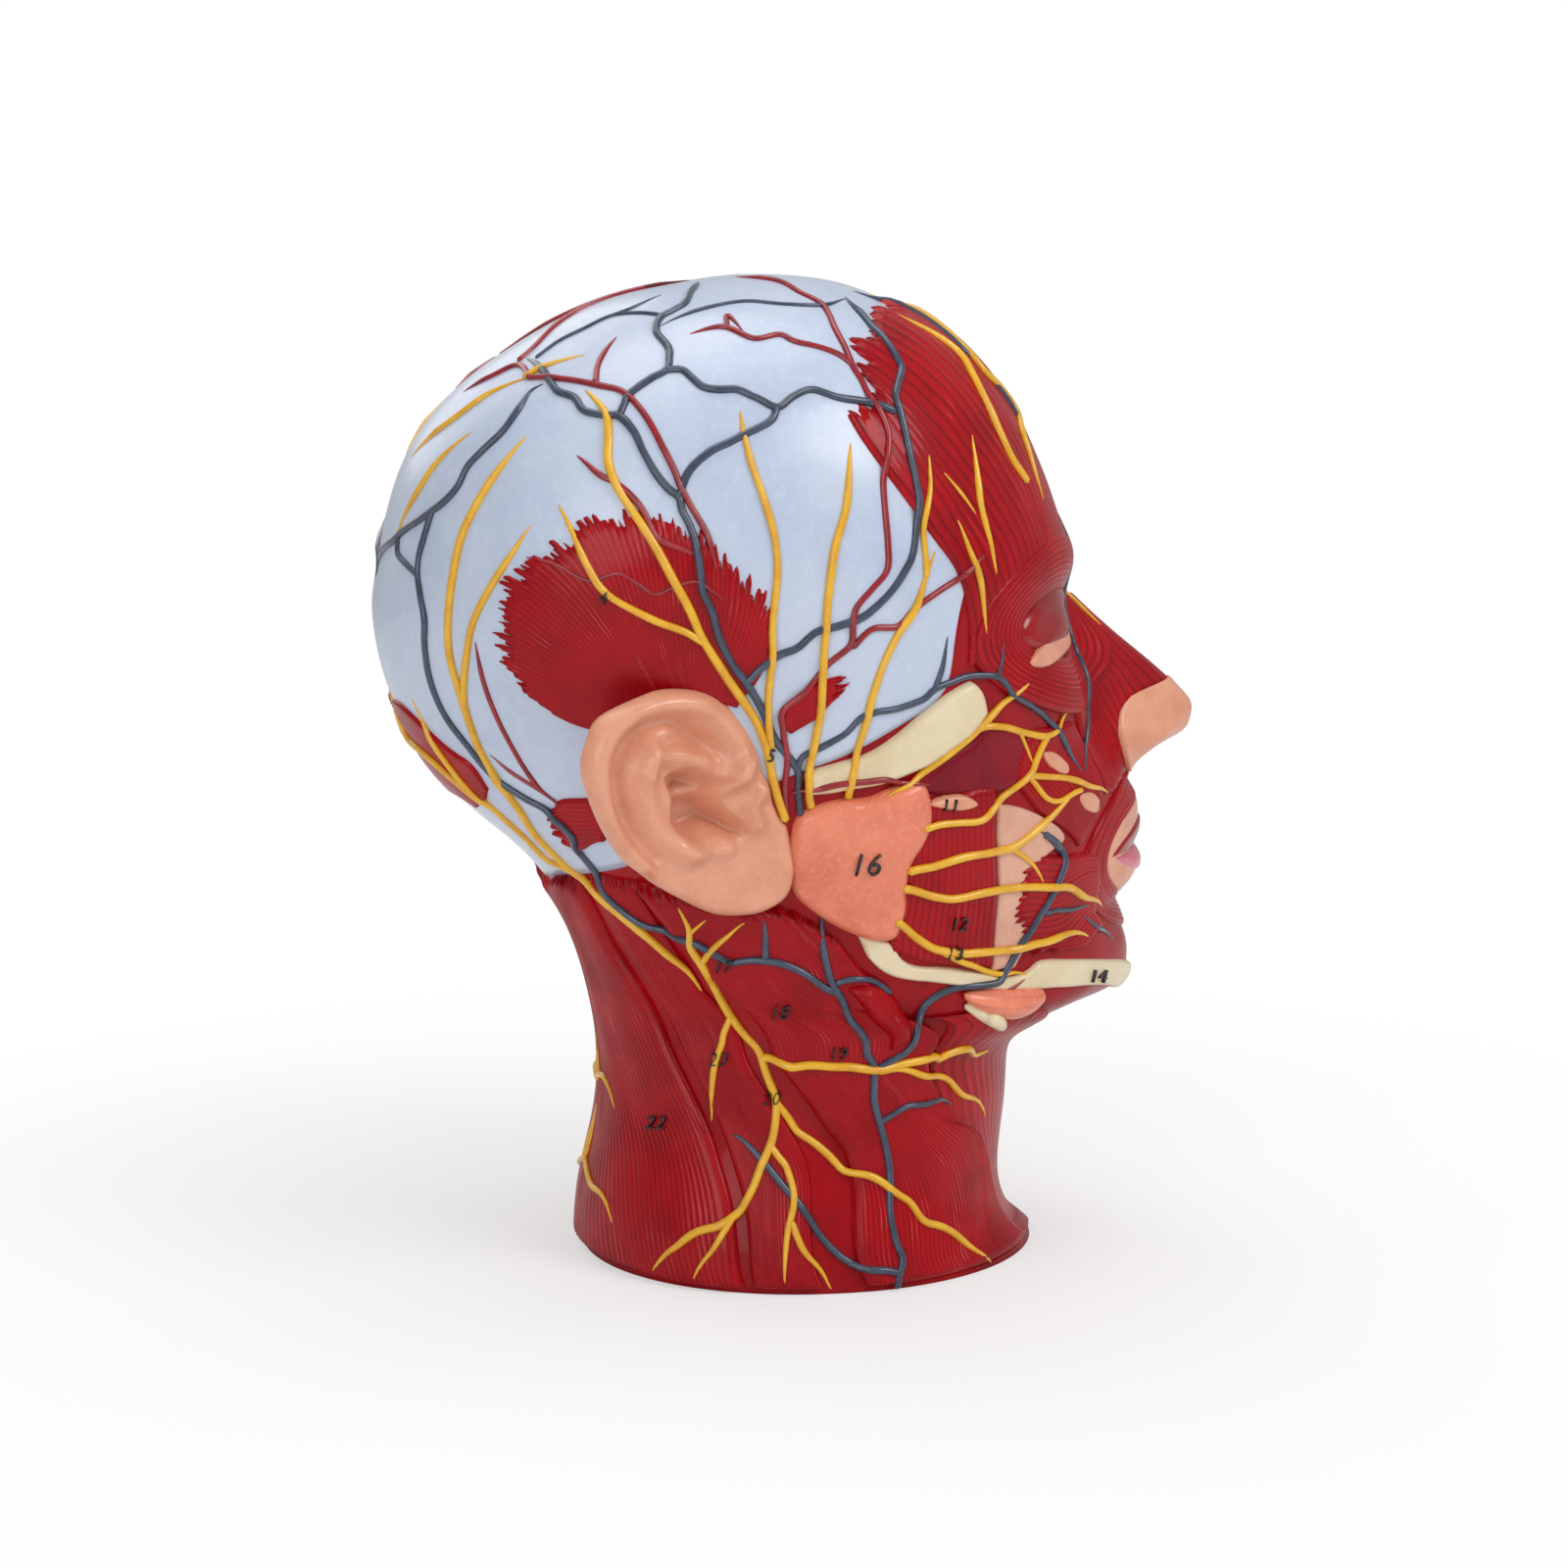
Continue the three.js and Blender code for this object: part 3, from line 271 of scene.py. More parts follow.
def toDisk(points):
    # nearest place of the table, then short steps along both slopes of the picture point, while they help
    points = np.asarray(points, float).reshape(-1, 2)
    chunks = np.array_split(points, len(points) // search["chunk"] + 1)
    ab = np.concatenate([
        tableAb[((chunk[:, None] - tablePx[None]) ** 2).sum(-1).argmin(1)] for chunk in chunks
    ])
    small = search["small"]
    error = points - toPicture(headPoint(ab))
    for _ in range(search["rounds"]):
        slopeA = (toPicture(headPoint(ab + [small, 0])) - toPicture(headPoint(ab))) / small
        slopeB = (toPicture(headPoint(ab + [0, small])) - toPicture(headPoint(ab))) / small
        cross = slopeA[:, 0] * slopeB[:, 1] - slopeA[:, 1] * slopeB[:, 0]
        cross = np.where(np.abs(cross) < search["flattest"], search["flattest"], cross)
        move = np.stack([
            (error[:, 0] * slopeB[:, 1] - error[:, 1] * slopeB[:, 0]) / cross,
            (slopeA[:, 0] * error[:, 1] - slopeA[:, 1] * error[:, 0]) / cross,
        ], -1)
        length = np.linalg.norm(move, axis=1, keepdims=True)
        move = move * np.minimum(1, search["longest"] / np.maximum(length, 1e-12))
        tried = ab + move
        newError = points - toPicture(headPoint(tried))
        better = (newError ** 2).sum(1) < (error ** 2).sum(1)
        ab = np.where(better[:, None], tried, ab)
        error = np.where(better[:, None], newError, error)
    depth = np.hypot(*ab.T)[:, None]
    ab = ab * np.minimum(1, baseDepth / np.maximum(depth, 1e-9))
    return np.stack([ab[:, 0], np.minimum(ab[:, 1], 0)], -1)


def onMidline(points, side=1):
    # disk places of mid-plane picture points: side 1 in front, -1 behind
    depth = np.minimum(depthOf(onMidPlane(points)[:, 2]), baseDepth)
    return np.stack([side * depth, 0 * depth], -1)


def fromFront(x, z):
    # disk place of a front-view place, where the level section reaches x
    depth = depthOf(z)
    power = frontFullness(depth) / 2
    sine = np.clip(np.abs(x) / np.maximum(halfWidthOf(depth), 1e-6), 0, 1) ** power
    return np.stack([depth * np.sqrt(1 - sine ** 2), depth * sine * np.sign(x)], -1)


def curveThrough(points, per=14, closed=False):
    # a cubic between each two points as a dense line: its slope at a point is half the way from the point
    # before to the point after
    points = np.asarray(points, float)
    if closed:
        held = np.vstack([points[-1:], points, points[:2]])
    else:
        held = np.vstack([2 * points[:1] - points[1:2], points, 2 * points[-1:] - points[-2:-1]])
    p0, p1, p2, p3 = (held[k:len(held) - 3 + k, None] for k in range(4))
    t = np.linspace(0, 1, per, endpoint=False)[None, :, None]
    line = p1 + 0.5 * t * (p2 - p0 + t * (2 * p0 - 5 * p1 + 4 * p2 - p3 + t * (3 * (p1 - p2) + p3 - p0)))
    line = line.reshape(-1, points.shape[1])
    return line if closed else np.vstack([line, points[-1:]])


def runLength(points, axis=0):
    # length run from the first point of each line: the sum of the steps so far
    steps = np.linalg.norm(np.diff(points, axis=axis), axis=-1)
    start = np.zeros_like(np.take(steps, [0], axis))
    return np.concatenate([start, np.cumsum(steps, axis)], axis)


def turned(ab):
    # disk places as angle and depth
    return np.stack([np.arctan2(ab[..., 1], ab[..., 0]), np.hypot(ab[..., 0], ab[..., 1])], -1)


def unturned(line):
    # disk places from angle and depth
    return line[..., 1:] * np.stack([np.cos(line[..., 0]), np.sin(line[..., 0])], -1)


def evenLine(ab, count=None, spacing=None, polar=False):
    # the smooth curve through disk places, with evenly spaced places along its length on the head. A
    # polar curve runs smoothly in angle and depth, so that it follows the head round its front
    line = curveThrough(turned(ab) if polar else ab)
    line = unturned(line) if polar else line
    length = runLength(headPoint(line))
    count = count or max(int(length[-1] / spacing), 3)
    places = np.linspace(0, length[-1], count)
    return np.stack([np.interp(places, length, line[:, k]) for k in range(2)], -1)


# Heights of what already lies on the head, over angle and depth, read by whatever is laid on top. The
# blurs, in cells, are those that a sheet, a cord or a number laid over others reads it with
raster = {"size": 1500, "margin": 24, "upsample": 3, "overBlur": 4, "cordBlur": 1.6, "inkBlur": 2}
heightMap = np.zeros((raster["size"], raster["size"]))


def mapPlace(ab):
    # row by depth and column by angle, so that a cell is about as broad all over the head
    size = raster["size"]
    rows = np.hypot(ab[..., 0], ab[..., 1]) * (size - 1)
    columns = (np.arctan2(ab[..., 1], ab[..., 0]) / (2 * math.pi) % 1) * size
    return rows, columns


def splat(ab, heights):
    # each cell keeps the greatest height that falls in it
    rows, columns = mapPlace(ab.reshape(-1, 2))
    rows = np.clip(rows.round().astype(int), 0, raster["size"] - 1)
    np.maximum.at(heightMap, (rows, columns.round().astype(int) % raster["size"]), heights.reshape(-1))


def finer(grid, times):
    # the grid with straight lines drawn between its neighbours, first along and then across
    for axis in (0, 1):
        count = grid.shape[axis]
        places = np.linspace(0, count - 1, (count - 1) * times + 1)
        low = np.minimum(places.astype(int), count - 2)
        share = (places - low).reshape([-1 if k == axis else 1 for k in range(grid.ndim)])
        grid = np.take(grid, low, axis) * (1 - share) + np.take(grid, low + 1, axis) * share
    return grid


def blurredMap(spread):
    # the height map with its gaps closed, under a bell that is made as a product of spectra
    margin = raster["margin"]
    closed = np.maximum.reduce([heightMap] + [
        np.roll(heightMap, shift, axis) for shift in (-1, 1) for axis in (0, 1)
    ])
    padded = np.pad(closed, ((margin, margin), (0, 0)), "edge")
    rows, columns = (np.exp(-2 * (math.pi * spread * places) ** 2) for places in (
        np.fft.fftfreq(len(padded)), np.fft.rfftfreq(raster["size"]),
    ))
    return np.fft.irfft2(np.fft.rfft2(padded) * (rows[:, None] * columns), padded.shape)[margin:-margin]


def readMap(values, ab):
    # the map's value at each place, from the four cells round it by their nearness
    size = raster["size"]
    rows, columns = mapPlace(ab)
    low = np.clip(np.floor(rows).astype(int), 0, size - 2)
    left = np.floor(columns).astype(int) % size
    right = (left + 1) % size
    u, v = np.clip(rows - low, 0, 1), columns - np.floor(columns)
    near = values[low, left] * (1 - v) + values[low, right] * v
    far = values[low + 1, left] * (1 - v) + values[low + 1, right] * v
    return near * (1 - u) + far * u


def ripple(points, size, seed, waves=7):
    # sum of plane waves of about that length in random directions
    random = np.random.default_rng(seed)
    total = np.zeros(points.shape[:-1])
    for _ in range(waves):
        direction = random.normal(size=points.shape[-1])
        direction = direction / np.linalg.norm(direction) * 2 * math.pi / size / random.uniform(0.7, 1.5)
        total += np.sin(points @ direction + random.uniform(0, 2 * math.pi))
    return total / math.sqrt(waves)


stride = 4  # top cells to each cell of a sheet's hidden bottom
coarse = (slice(None, None, stride),) * 2


def gridFaces(rows, columns, closedRows=False, closedColumns=False, underneath=False):
    # four-sided faces of a grid counted row by row, seen from the other side when it lies underneath
    lastRow, lastColumn = rows - (not closedRows), columns - (not closedColumns)
    i, j = np.meshgrid(np.arange(lastRow), np.arange(lastColumn), indexing="ij")
    nextI, nextJ = (i + 1) % rows, (j + 1) % columns
    here, below = i * columns + j, nextI * columns + j
    beside, across = i * columns + nextJ, nextI * columns + nextJ
    corners = (here, beside, across, below) if underneath else (here, below, across, beside)
    return np.stack(corners, -1).reshape(-1, 4)


def sheetFaces(nu, nv, wrapped):
    # faces of a closed sheet: a fine top grid, a coarse bottom grid and many-sided rim faces between them
    topU = nu if wrapped else nu - 1
    coarseU, coarseV = topU // stride + (0 if wrapped else 1), (nv - 1) // stride + 1
    start = nu * nv
    lastU = coarseU if wrapped else coarseU - 1
    faces = gridFaces(nu, nv, closedRows=wrapped).tolist()
    faces += (gridFaces(coarseU, coarseV, closedRows=wrapped, underneath=True) + start).tolist()
    along, steps = np.arange(lastU)[:, None], np.arange(stride + 1)[None]
    fine = (along * stride + steps) % nu
    here, there = start + along * coarseV, start + (along + 1) % coarseU * coarseV
    faces += np.hstack([(fine * nv)[:, ::-1], here, there]).tolist()
    faces += np.hstack([fine * nv + nv - 1, there + coarseV - 1, here + coarseV - 1]).tolist()
    if not wrapped:
        across = np.arange(coarseV - 1)[:, None]
        fine = across * stride + steps
        here, there = start + across, start + across + 1
        faces += np.hstack([fine, there, here]).tolist()
        far, shift = (nu - 1) * nv, (coarseU - 1) * coarseV
        faces += np.hstack([(fine + far)[:, ::-1], here + shift, there + shift]).tolist()
    return faces


def newObject(name, data):
    # an object in the scene, at the origin
    thing = bpy.data.objects.new(name, data)
    bpy.context.scene.collection.objects.link(thing)
    return thing


def makeObject(name, points, faces, material, uv=None, replaced=()):
    # a smooth mesh with its paint, which rides on the head and stands for the CAD nodes it replaces
    mesh = bpy.data.meshes.new(name)
    mesh.from_pydata(points.reshape(-1, 3), [], faces)
    mesh.polygons.foreach_set("use_smooth", np.ones(len(mesh.polygons), bool))
    if uv is not None:
        corners = np.zeros(len(mesh.loops), int)
        mesh.loops.foreach_get("vertex_index", corners)
        layer = mesh.uv_layers.new(name="fibre")
        layer.data.foreach_set("uv", uv.reshape(-1, 2)[corners].astype(np.float32).ravel())
    mesh.materials.append(materials[material])
    mesh.validate()
    piece = newObject(name, mesh)
    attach(piece, "root")
    if replaced:
        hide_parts(*replaced)


def bothSides(name, points, faces, material, uv=None, node=None):
    # the right piece, and its mirror image on the left with its faces turned round
    mirrored = points.reshape(-1, 3) * [-1, 1, 1], [face[::-1] for face in faces]
    for side, body in (("right", (points, faces)), ("left", mirrored)):
        makeObject(name + side.title(), *body, material, uv, [f"{node}_{side}"] if node else ())


def srgb(red, green, blue):
    # linear colour of a screen colour from 0 to 255, by the standard's two-part curve
    shares = np.array([red, green, blue]) / 255
    linear = np.where(shares <= 0.04045, shares / 12.92, ((shares + 0.055) / 1.055) ** 2.4)
    return (*linear.tolist(), 1.0)


class NodeSheet:
    # a small helper that adds shader nodes to a material or a world and joins them
    def __init__(self, owner):
        owner.use_nodes = True
        self.tree = owner.node_tree
        self.tree.nodes.clear()

    def add(self, kind, inputs=None, **settings):
        # a node, each of its inputs joined to a socket or set to a value
        node = self.tree.nodes.new(kind)
        for key, value in settings.items():
            setattr(node, key, value)
        for key, value in (inputs or {}).items():
            if isinstance(value, bpy.types.NodeSocket):
                self.tree.links.new(value, node.inputs[key])
            else:
                node.inputs[key].default_value = value
        return node

    def math(self, operation, *values, clamp=False):
        # one step of arithmetic on numbers or sockets
        inputs = dict(enumerate(values))
        return self.add("ShaderNodeMath", inputs, operation=operation, use_clamp=clamp).outputs[0]

    def step(self, value, low, high):
        # from 0 at low to 1 at high, with level ends
        inputs = {"Value": value, "From Min": low, "From Max": high}
        return self.add("ShaderNodeMapRange", inputs, interpolation_type="SMOOTHSTEP").outputs["Result"]

    def noise(self, vector, scale, detail=2.0, roughness=0.5):
        # cloudy noise about one half
        inputs = {"Vector": vector, "Scale": scale, "Detail": detail, "Roughness": roughness}
        return self.add("ShaderNodeTexNoise", inputs).outputs["Fac"]

    def mix(self, share, one, two):
        # from the first colour to the second by the share
        return self.add("ShaderNodeMix", {0: share, 6: one, 7: two}, data_type="RGBA").outputs[2]

    def tint(self, colour, mask, strength, tone):
        # the tone over the colour where the mask shows, at that strength
        return self.mix(self.math("MULTIPLY", mask, strength), colour, tone)


# What each finish starts from, in shares unless it is a scale, a depth or a colour. A range says where a
# mask or a roughness starts and where it is full
paintLook = {
    "broadScale": 60.0, "broadRange": (0.35, 0.7), "fineScale": 700.0, "fineRange": (0.45, 0.8),
    "speckle": 0.25, "bump": 0.15, "bumpDepth": 0.0004, "fineBump": 0.35, "grooveBump": -0.5,
    "coat": 0.5, "coatRoughness": 0.14, "gloss": 0.4, "roughRange": (0.3, 0.7), "roughSpread": (-0.05, 0.07),
    "soft": 0, "softDepths": (0.004, 0.0015, 0.0008), "softScale": 0.5, "lines": 0, "wander": 0.8,
    "grooveRange": (0.2, 0.0), "crestPaintAndSheen": 0.4, "crestRange": (0.34, 0.5), "crestStreaks": (0.5, 0.66),
    "streaks": 0.5, "streakRange": (0.4, 0.5), "rareStreaks": (0.62, 0.74), "streakStretch": 0.05,
    "streakShift": 3.7,
}


def paint(look):
    # glossy paint on moulded plastic: brushed mottling, painted shade in the fibre grooves, lighter crest
    # lines and streaks that are partly paint and partly painted highlight, and a fine uneven skin
    look = {**paintLook, **look}
    tones = {key: srgb(*look[key]) for key in ("colour", "shade", "light", "grooveShade", "streakAndSheen") if key in look}
    material = bpy.data.materials.new(look["name"])
    sheet = NodeSheet(material)
    place = sheet.add("ShaderNodeTexCoord").outputs["Object"]
    broad = sheet.noise(place, look["broadScale"], 3.0)
    fine = sheet.noise(place, look["fineScale"], 2.0)
    colour = sheet.mix(sheet.step(broad, *look["broadRange"]), tones["colour"], tones["shade"])
    colour = sheet.tint(colour, sheet.step(fine, *look["fineRange"]), look["speckle"], tones["light"])
    bump = sheet.math("MULTIPLY_ADD", fine, look["fineBump"], broad)
    if look["lines"]:
        # across the fibres the UV counts whole fibres, so a pingpong of it runs from groove to crest
        uv = sheet.add("ShaderNodeUVMap", uv_map="fibre").outputs["UV"]
        parts = sheet.add("ShaderNodeSeparateXYZ", {0: uv})
        along, across = parts.outputs[0], parts.outputs[1]
        wander = sheet.math("MULTIPLY", sheet.math("SUBTRACT", broad, 0.5), look["wander"])
        across = sheet.math("ADD", across, wander)
        fromCrest = sheet.math("PINGPONG", sheet.math("ADD", across, 0.5), 0.5)
        groove = sheet.step(fromCrest, *look["grooveRange"])
        number = sheet.math("FLOOR", across)
        spot = sheet.add("ShaderNodeCombineXYZ", {
            0: sheet.math("MULTIPLY", along, look["streakStretch"]),
            1: sheet.math("MULTIPLY", number, look["streakShift"]), 2: 0.0,
        }).outputs[0]
        streaks = sheet.noise(spot, 1.0, 2.0)
        # painted shade: the colour drawn towards the dark tone along the grooves, where shade would fall
        colour = sheet.tint(colour, groove, look["lines"], tones["grooveShade"])
        crest, rare = (
            sheet.math("MULTIPLY", sheet.step(fromCrest, *look[near]), sheet.step(streaks, *look[share]))
            for near, share in (("crestRange", "crestStreaks"), ("streakRange", "rareStreaks"))
        )
        # partly paint and partly painted highlight: the light tone on the crests between the grooves, broken
        # up by the streak noise
        colour = sheet.tint(colour, crest, look["crestPaintAndSheen"], tones["light"])
        # rare pale pink streaks on the crests, partly painted fibre lines and partly painted highlight
        colour = sheet.tint(colour, rare, look["streaks"], tones["streakAndSheen"])
        bump = sheet.math("MULTIPLY_ADD", groove, look["grooveBump"], bump)
    (low, high), (smoother, rougher) = look["roughRange"], look["roughSpread"]
    roughness = sheet.add("ShaderNodeMapRange", {
        "Value": broad, "From Min": low, "From Max": high,
        "To Min": look["roughness"] + smoother, "To Max": look["roughness"] + rougher,
    }).outputs["Result"]
    relief = sheet.add("ShaderNodeBump", {
        "Height": bump, "Strength": look["bump"], "Distance": look["bumpDepth"],
    }).outputs["Normal"]
    shader = sheet.add("ShaderNodeBsdfPrincipled", {
        "Base Color": colour, "Roughness": roughness, "Normal": relief,
        "Coat Weight": look["coat"], "Coat Roughness": look["coatRoughness"],
        "Specular IOR Level": look["gloss"],
    })
    if look["soft"]:
        shader.inputs["Subsurface Weight"].default_value = look["soft"]
        shader.inputs["Subsurface Radius"].default_value = look["softDepths"]
        shader.inputs["Subsurface Scale"].default_value = look["softScale"]
    sheet.add("ShaderNodeOutputMaterial", {"Surface": shader.outputs[0]})
    return material


# The dark tone is painted shade in the fibre grooves; the light tone also lightens the crests and the streak
# tone lays rare pink streaks there, both partly paint and partly painted highlight
muscleLook = {
    "colour": (166, 3, 16), "shade": (146, 0, 12), "light": (196, 46, 58),
    "grooveShade": (92, 0, 8), "streakAndSheen": (232, 140, 140), "roughness": 0.34, "lines": 0.7,
    "crestPaintAndSheen": 0.45, "streaks": 0.7, "speckle": 0.08, "coat": 0.2, "gloss": 0.12, "coatRoughness": 0.1,
}
looks = {
    "muscle": {"name": "muscleRed", **muscleLook},
    "ground": {
        "name": "groundRed", "colour": (156, 2, 14), "shade": (134, 0, 10), "light": (178, 22, 34),
        "roughness": 0.34, "speckle": 0.2, "coat": 0.2, "gloss": 0.12, "coatRoughness": 0.1,
    },
    # the muscle's painted shade in the grooves and partly painted highlight on the crests, weaker
    "deep": {
        "name": "deepRed", **muscleLook, "colour": (134, 10, 30), "shade": (114, 6, 26),
        "light": (156, 40, 56), "lines": 0.3, "crestPaintAndSheen": 0.25, "streaks": 0.15,
    },
    "lid": {
        "name": "lidRed", "colour": (154, 4, 12), "shade": (130, 0, 8), "light": (178, 22, 28),
        "roughness": 0.24, "speckle": 0.1, "coat": 0.45, "gloss": 0.3,
    },
    "scalp": {
        "name": "scalpBlueGrey", "colour": (186, 197, 216), "shade": (175, 187, 209),
        "light": (201, 210, 225), "roughness": 0.33, "broadScale": 35.0, "fineScale": 420.0,
        "speckle": 0.35, "bump": 0.07, "coatRoughness": 0.2, "coat": 0.4,
    },
    "flesh": {
        "name": "skinFlesh", "colour": (217, 152, 122), "shade": (207, 139, 109), "light": (228, 168, 140),
        "roughness": 0.38, "broadScale": 90.0, "speckle": 0.3, "bump": 0.06, "coat": 0.35,
        "coatRoughness": 0.22, "soft": 0.05,
    },
    # its lines are painted shade in the grooves, and its lighter crests and streaks are partly paint and
    # partly painted highlight
    "gland": {
        "name": "glandOrange", "colour": (229, 130, 98), "shade": (216, 113, 84), "light": (240, 158, 130),
        "grooveShade": (186, 84, 62), "streakAndSheen": (248, 184, 160), "roughness": 0.4, "lines": 0.3,
        "crestPaintAndSheen": 0.4, "streaks": 0.3, "bump": 0.3, "speckle": 0.4,
    },
    "bone": {
        "name": "boneCream", "colour": (221, 205, 171), "shade": (210, 191, 153), "light": (230, 216, 188),
        "roughness": 0.42, "speckle": 0.3, "bump": 0.08, "coat": 0.3,
    },
    "buccal": {
        "name": "buccalBeige", "colour": (216, 166, 142), "shade": (206, 150, 126), "light": (228, 184, 162),
        "roughness": 0.42, "speckle": 0.3, "bump": 0.1, "coat": 0.3,
    },
    "lipPink": {
        "name": "lipPink", "colour": (206, 98, 116), "shade": (192, 82, 102), "light": (222, 130, 142),
        "roughness": 0.3, "speckle": 0.2, "bump": 0.12,
    },
    "nerve": {
        "name": "nerveYellow", "colour": (226, 172, 32), "shade": (212, 152, 20), "light": (236, 192, 66),
        "roughness": 0.33, "broadScale": 160.0, "speckle": 0.3, "bump": 0.12,
    },
    "vein": {
        "name": "veinBlue", "colour": (58, 68, 88), "shade": (44, 52, 70), "light": (88, 100, 122),
        "roughness": 0.32, "broadScale": 160.0, "speckle": 0.3, "bump": 0.14,
    },
    "artery": {
        "name": "arteryRed", "colour": (148, 16, 30), "shade": (124, 8, 22), "light": (176, 46, 56),
        "roughness": 0.3, "broadScale": 160.0, "speckle": 0.3, "bump": 0.14,
    },
    "plate": {
        "name": "plateGrey", "colour": (206, 202, 192), "shade": (194, 190, 180), "light": (220, 216, 208),
        "roughness": 0.55, "bump": 0.2, "coat": 0.05,
    },
    "ink": {
        "name": "inkBlack", "colour": (30, 24, 26), "shade": (22, 18, 20), "light": (52, 42, 44),
        "roughness": 0.4, "speckle": 0.3, "bump": 0.05, "coat": 0.3,
    },
}
materials = {key: paint(look) for key, look in looks.items()}
print("materials made")


def roundEdge(distance, reach):
    # quarter circle from 0 at the edge to 1 at reach
    share = np.clip(distance / reach, 0, 1)
    return np.sqrt(1 - (1 - share) ** 2)


sink = 0.0005  # how far an edge goes below the ground
underside = 0.0012  # how far a piece's hidden bottom goes below it
lowest = 0.0004  # no sheet reaches below this height over the table
pixel = 0.00027  # one picture point on the head's side, in metres


def stacked(top, bottom):
    # two grids as one list of rows, the first grid's rows first
    return np.concatenate([top.reshape(-1, top.shape[-1]), bottom.reshape(-1, top.shape[-1])])


def finishSheet(name, ab, heights, fibres, along, look, wrapped=False):
    # a closed piece from disk places and heights: the top, and a coarse bottom below the ground
    point, normal = headFrame(ab)
    base = readMap(blurredMap(raster["overBlur"]), ab) if look.get("over") else 0
    total = heights + base
    top = point + normal * total[..., None]
    top[..., 2] = np.maximum(top[..., 2], lowest)
    ring, risen = (np.concatenate([grid, grid[:1]]) if wrapped else grid for grid in (ab, total))
    splat(finer(ring, raster["upsample"]), np.maximum(finer(risen, raster["upsample"]), 0))
    low = np.minimum(total, base + 0 * total)[coarse] - underside
    bottom = point[coarse] + normal[coarse] * low[..., None]
    bottom[..., 2] = np.maximum(bottom[..., 2], lowest)
    # the UV map counts millimetres along the fibres, and whole fibres across them
    uv = np.stack([along * 1000, fibres + 0 * along], -1)
    faces = sheetFaces(*ab.shape[:2], wrapped)
    # the grid may run either way round, so its middle cell says whether the faces point outwards
    i, j = ab.shape[0] // 2, ab.shape[1] // 2
    if np.cross(top[i + 1, j] - top[i, j], top[i, j + 1] - top[i, j]) @ normal[i, j] < 0:
        faces = [face[::-1] for face in faces]
    piece = stacked(top, bottom), faces, look.get("material", "muscle"), stacked(uv, uv[coarse])
    if look.get("crossing"):
        makeObject(name, *piece, [look["node"]] if look.get("node") else ())
    else:
        bothSides(name, *piece, look.get("node"))


# Each fibre's share of the ridge height, and how unevenly and sharply the fibres of a fringe end
fibreLook = {"least": 0.75, "spread": 0.5, "level": 0.6, "cutPower": 1.3, "tipPower": 1.5, "tip": 0.5}
# A ring's cells round it and to each fibre, each fibre's share of the ridge height, and its wave
ringLook = {"around": 200, "perFibre": 5, "least": 0.7, "spread": 0.6, "waveLength": 1.5, "seed": 3}
sheetSpacing = 0.0011  # one cell along the fibres, unless a piece gives its own


def seeded(name):
    # random numbers of the piece's own, the same each run: the seed is the sum of its letters' codes
    return np.random.default_rng(sum(map(ord, name)))


def fibreRound(within):
    # half a circle across each fibre, lowered so that crests and grooves lie about the sheet's level
    return np.sqrt(np.clip(1 - within ** 2, 0, 1)) - fibreLook["level"]


def fibreHeights(name, look, along, total, across, width, v):
    # height from the edges inwards, with one rounded ridge a fibre, and fibres of uneven length at a fringe
    random = seeded(name)
    fibres = look["fibres"]
    place = v * fibres
    number = np.clip(place.astype(int), 0, fibres - 1)
    within = 2 * (place - number) - 1
    startCut, endCut = (random.random((2, fibres)) ** fibreLook["cutPower"])[:, number]
    tip = np.abs(within) ** fibreLook["tipPower"] * fibreLook["tip"]
    startFringe, endFringe = look.get("fringe", (0, 0))
    fromStart = along - startFringe * (startCut + tip)
    fromEnd = total - along - endFringe * (endCut + tip)
    edge = np.minimum(across, width - across)
    reach = look["round"]
    share = np.minimum(roundEdge(edge, reach), roundEdge(fromStart, look.get("startRound", reach)))
    share = np.minimum(share, roundEdge(fromEnd, look.get("endRound", reach)))
    size = (fibreLook["least"] + fibreLook["spread"] * random.random(fibres))[number]
    bulge = look.get("belly", 0) * np.sin(math.pi * np.clip(along / total, 0, 1)) * np.sin(math.pi * v)
    ridge = look["ridge"] * size * fibreRound(within)
    thickness = look["thickness"] + bulge + ridge * np.minimum(share * 2, 1)
    return (thickness + sink) * share - sink, place


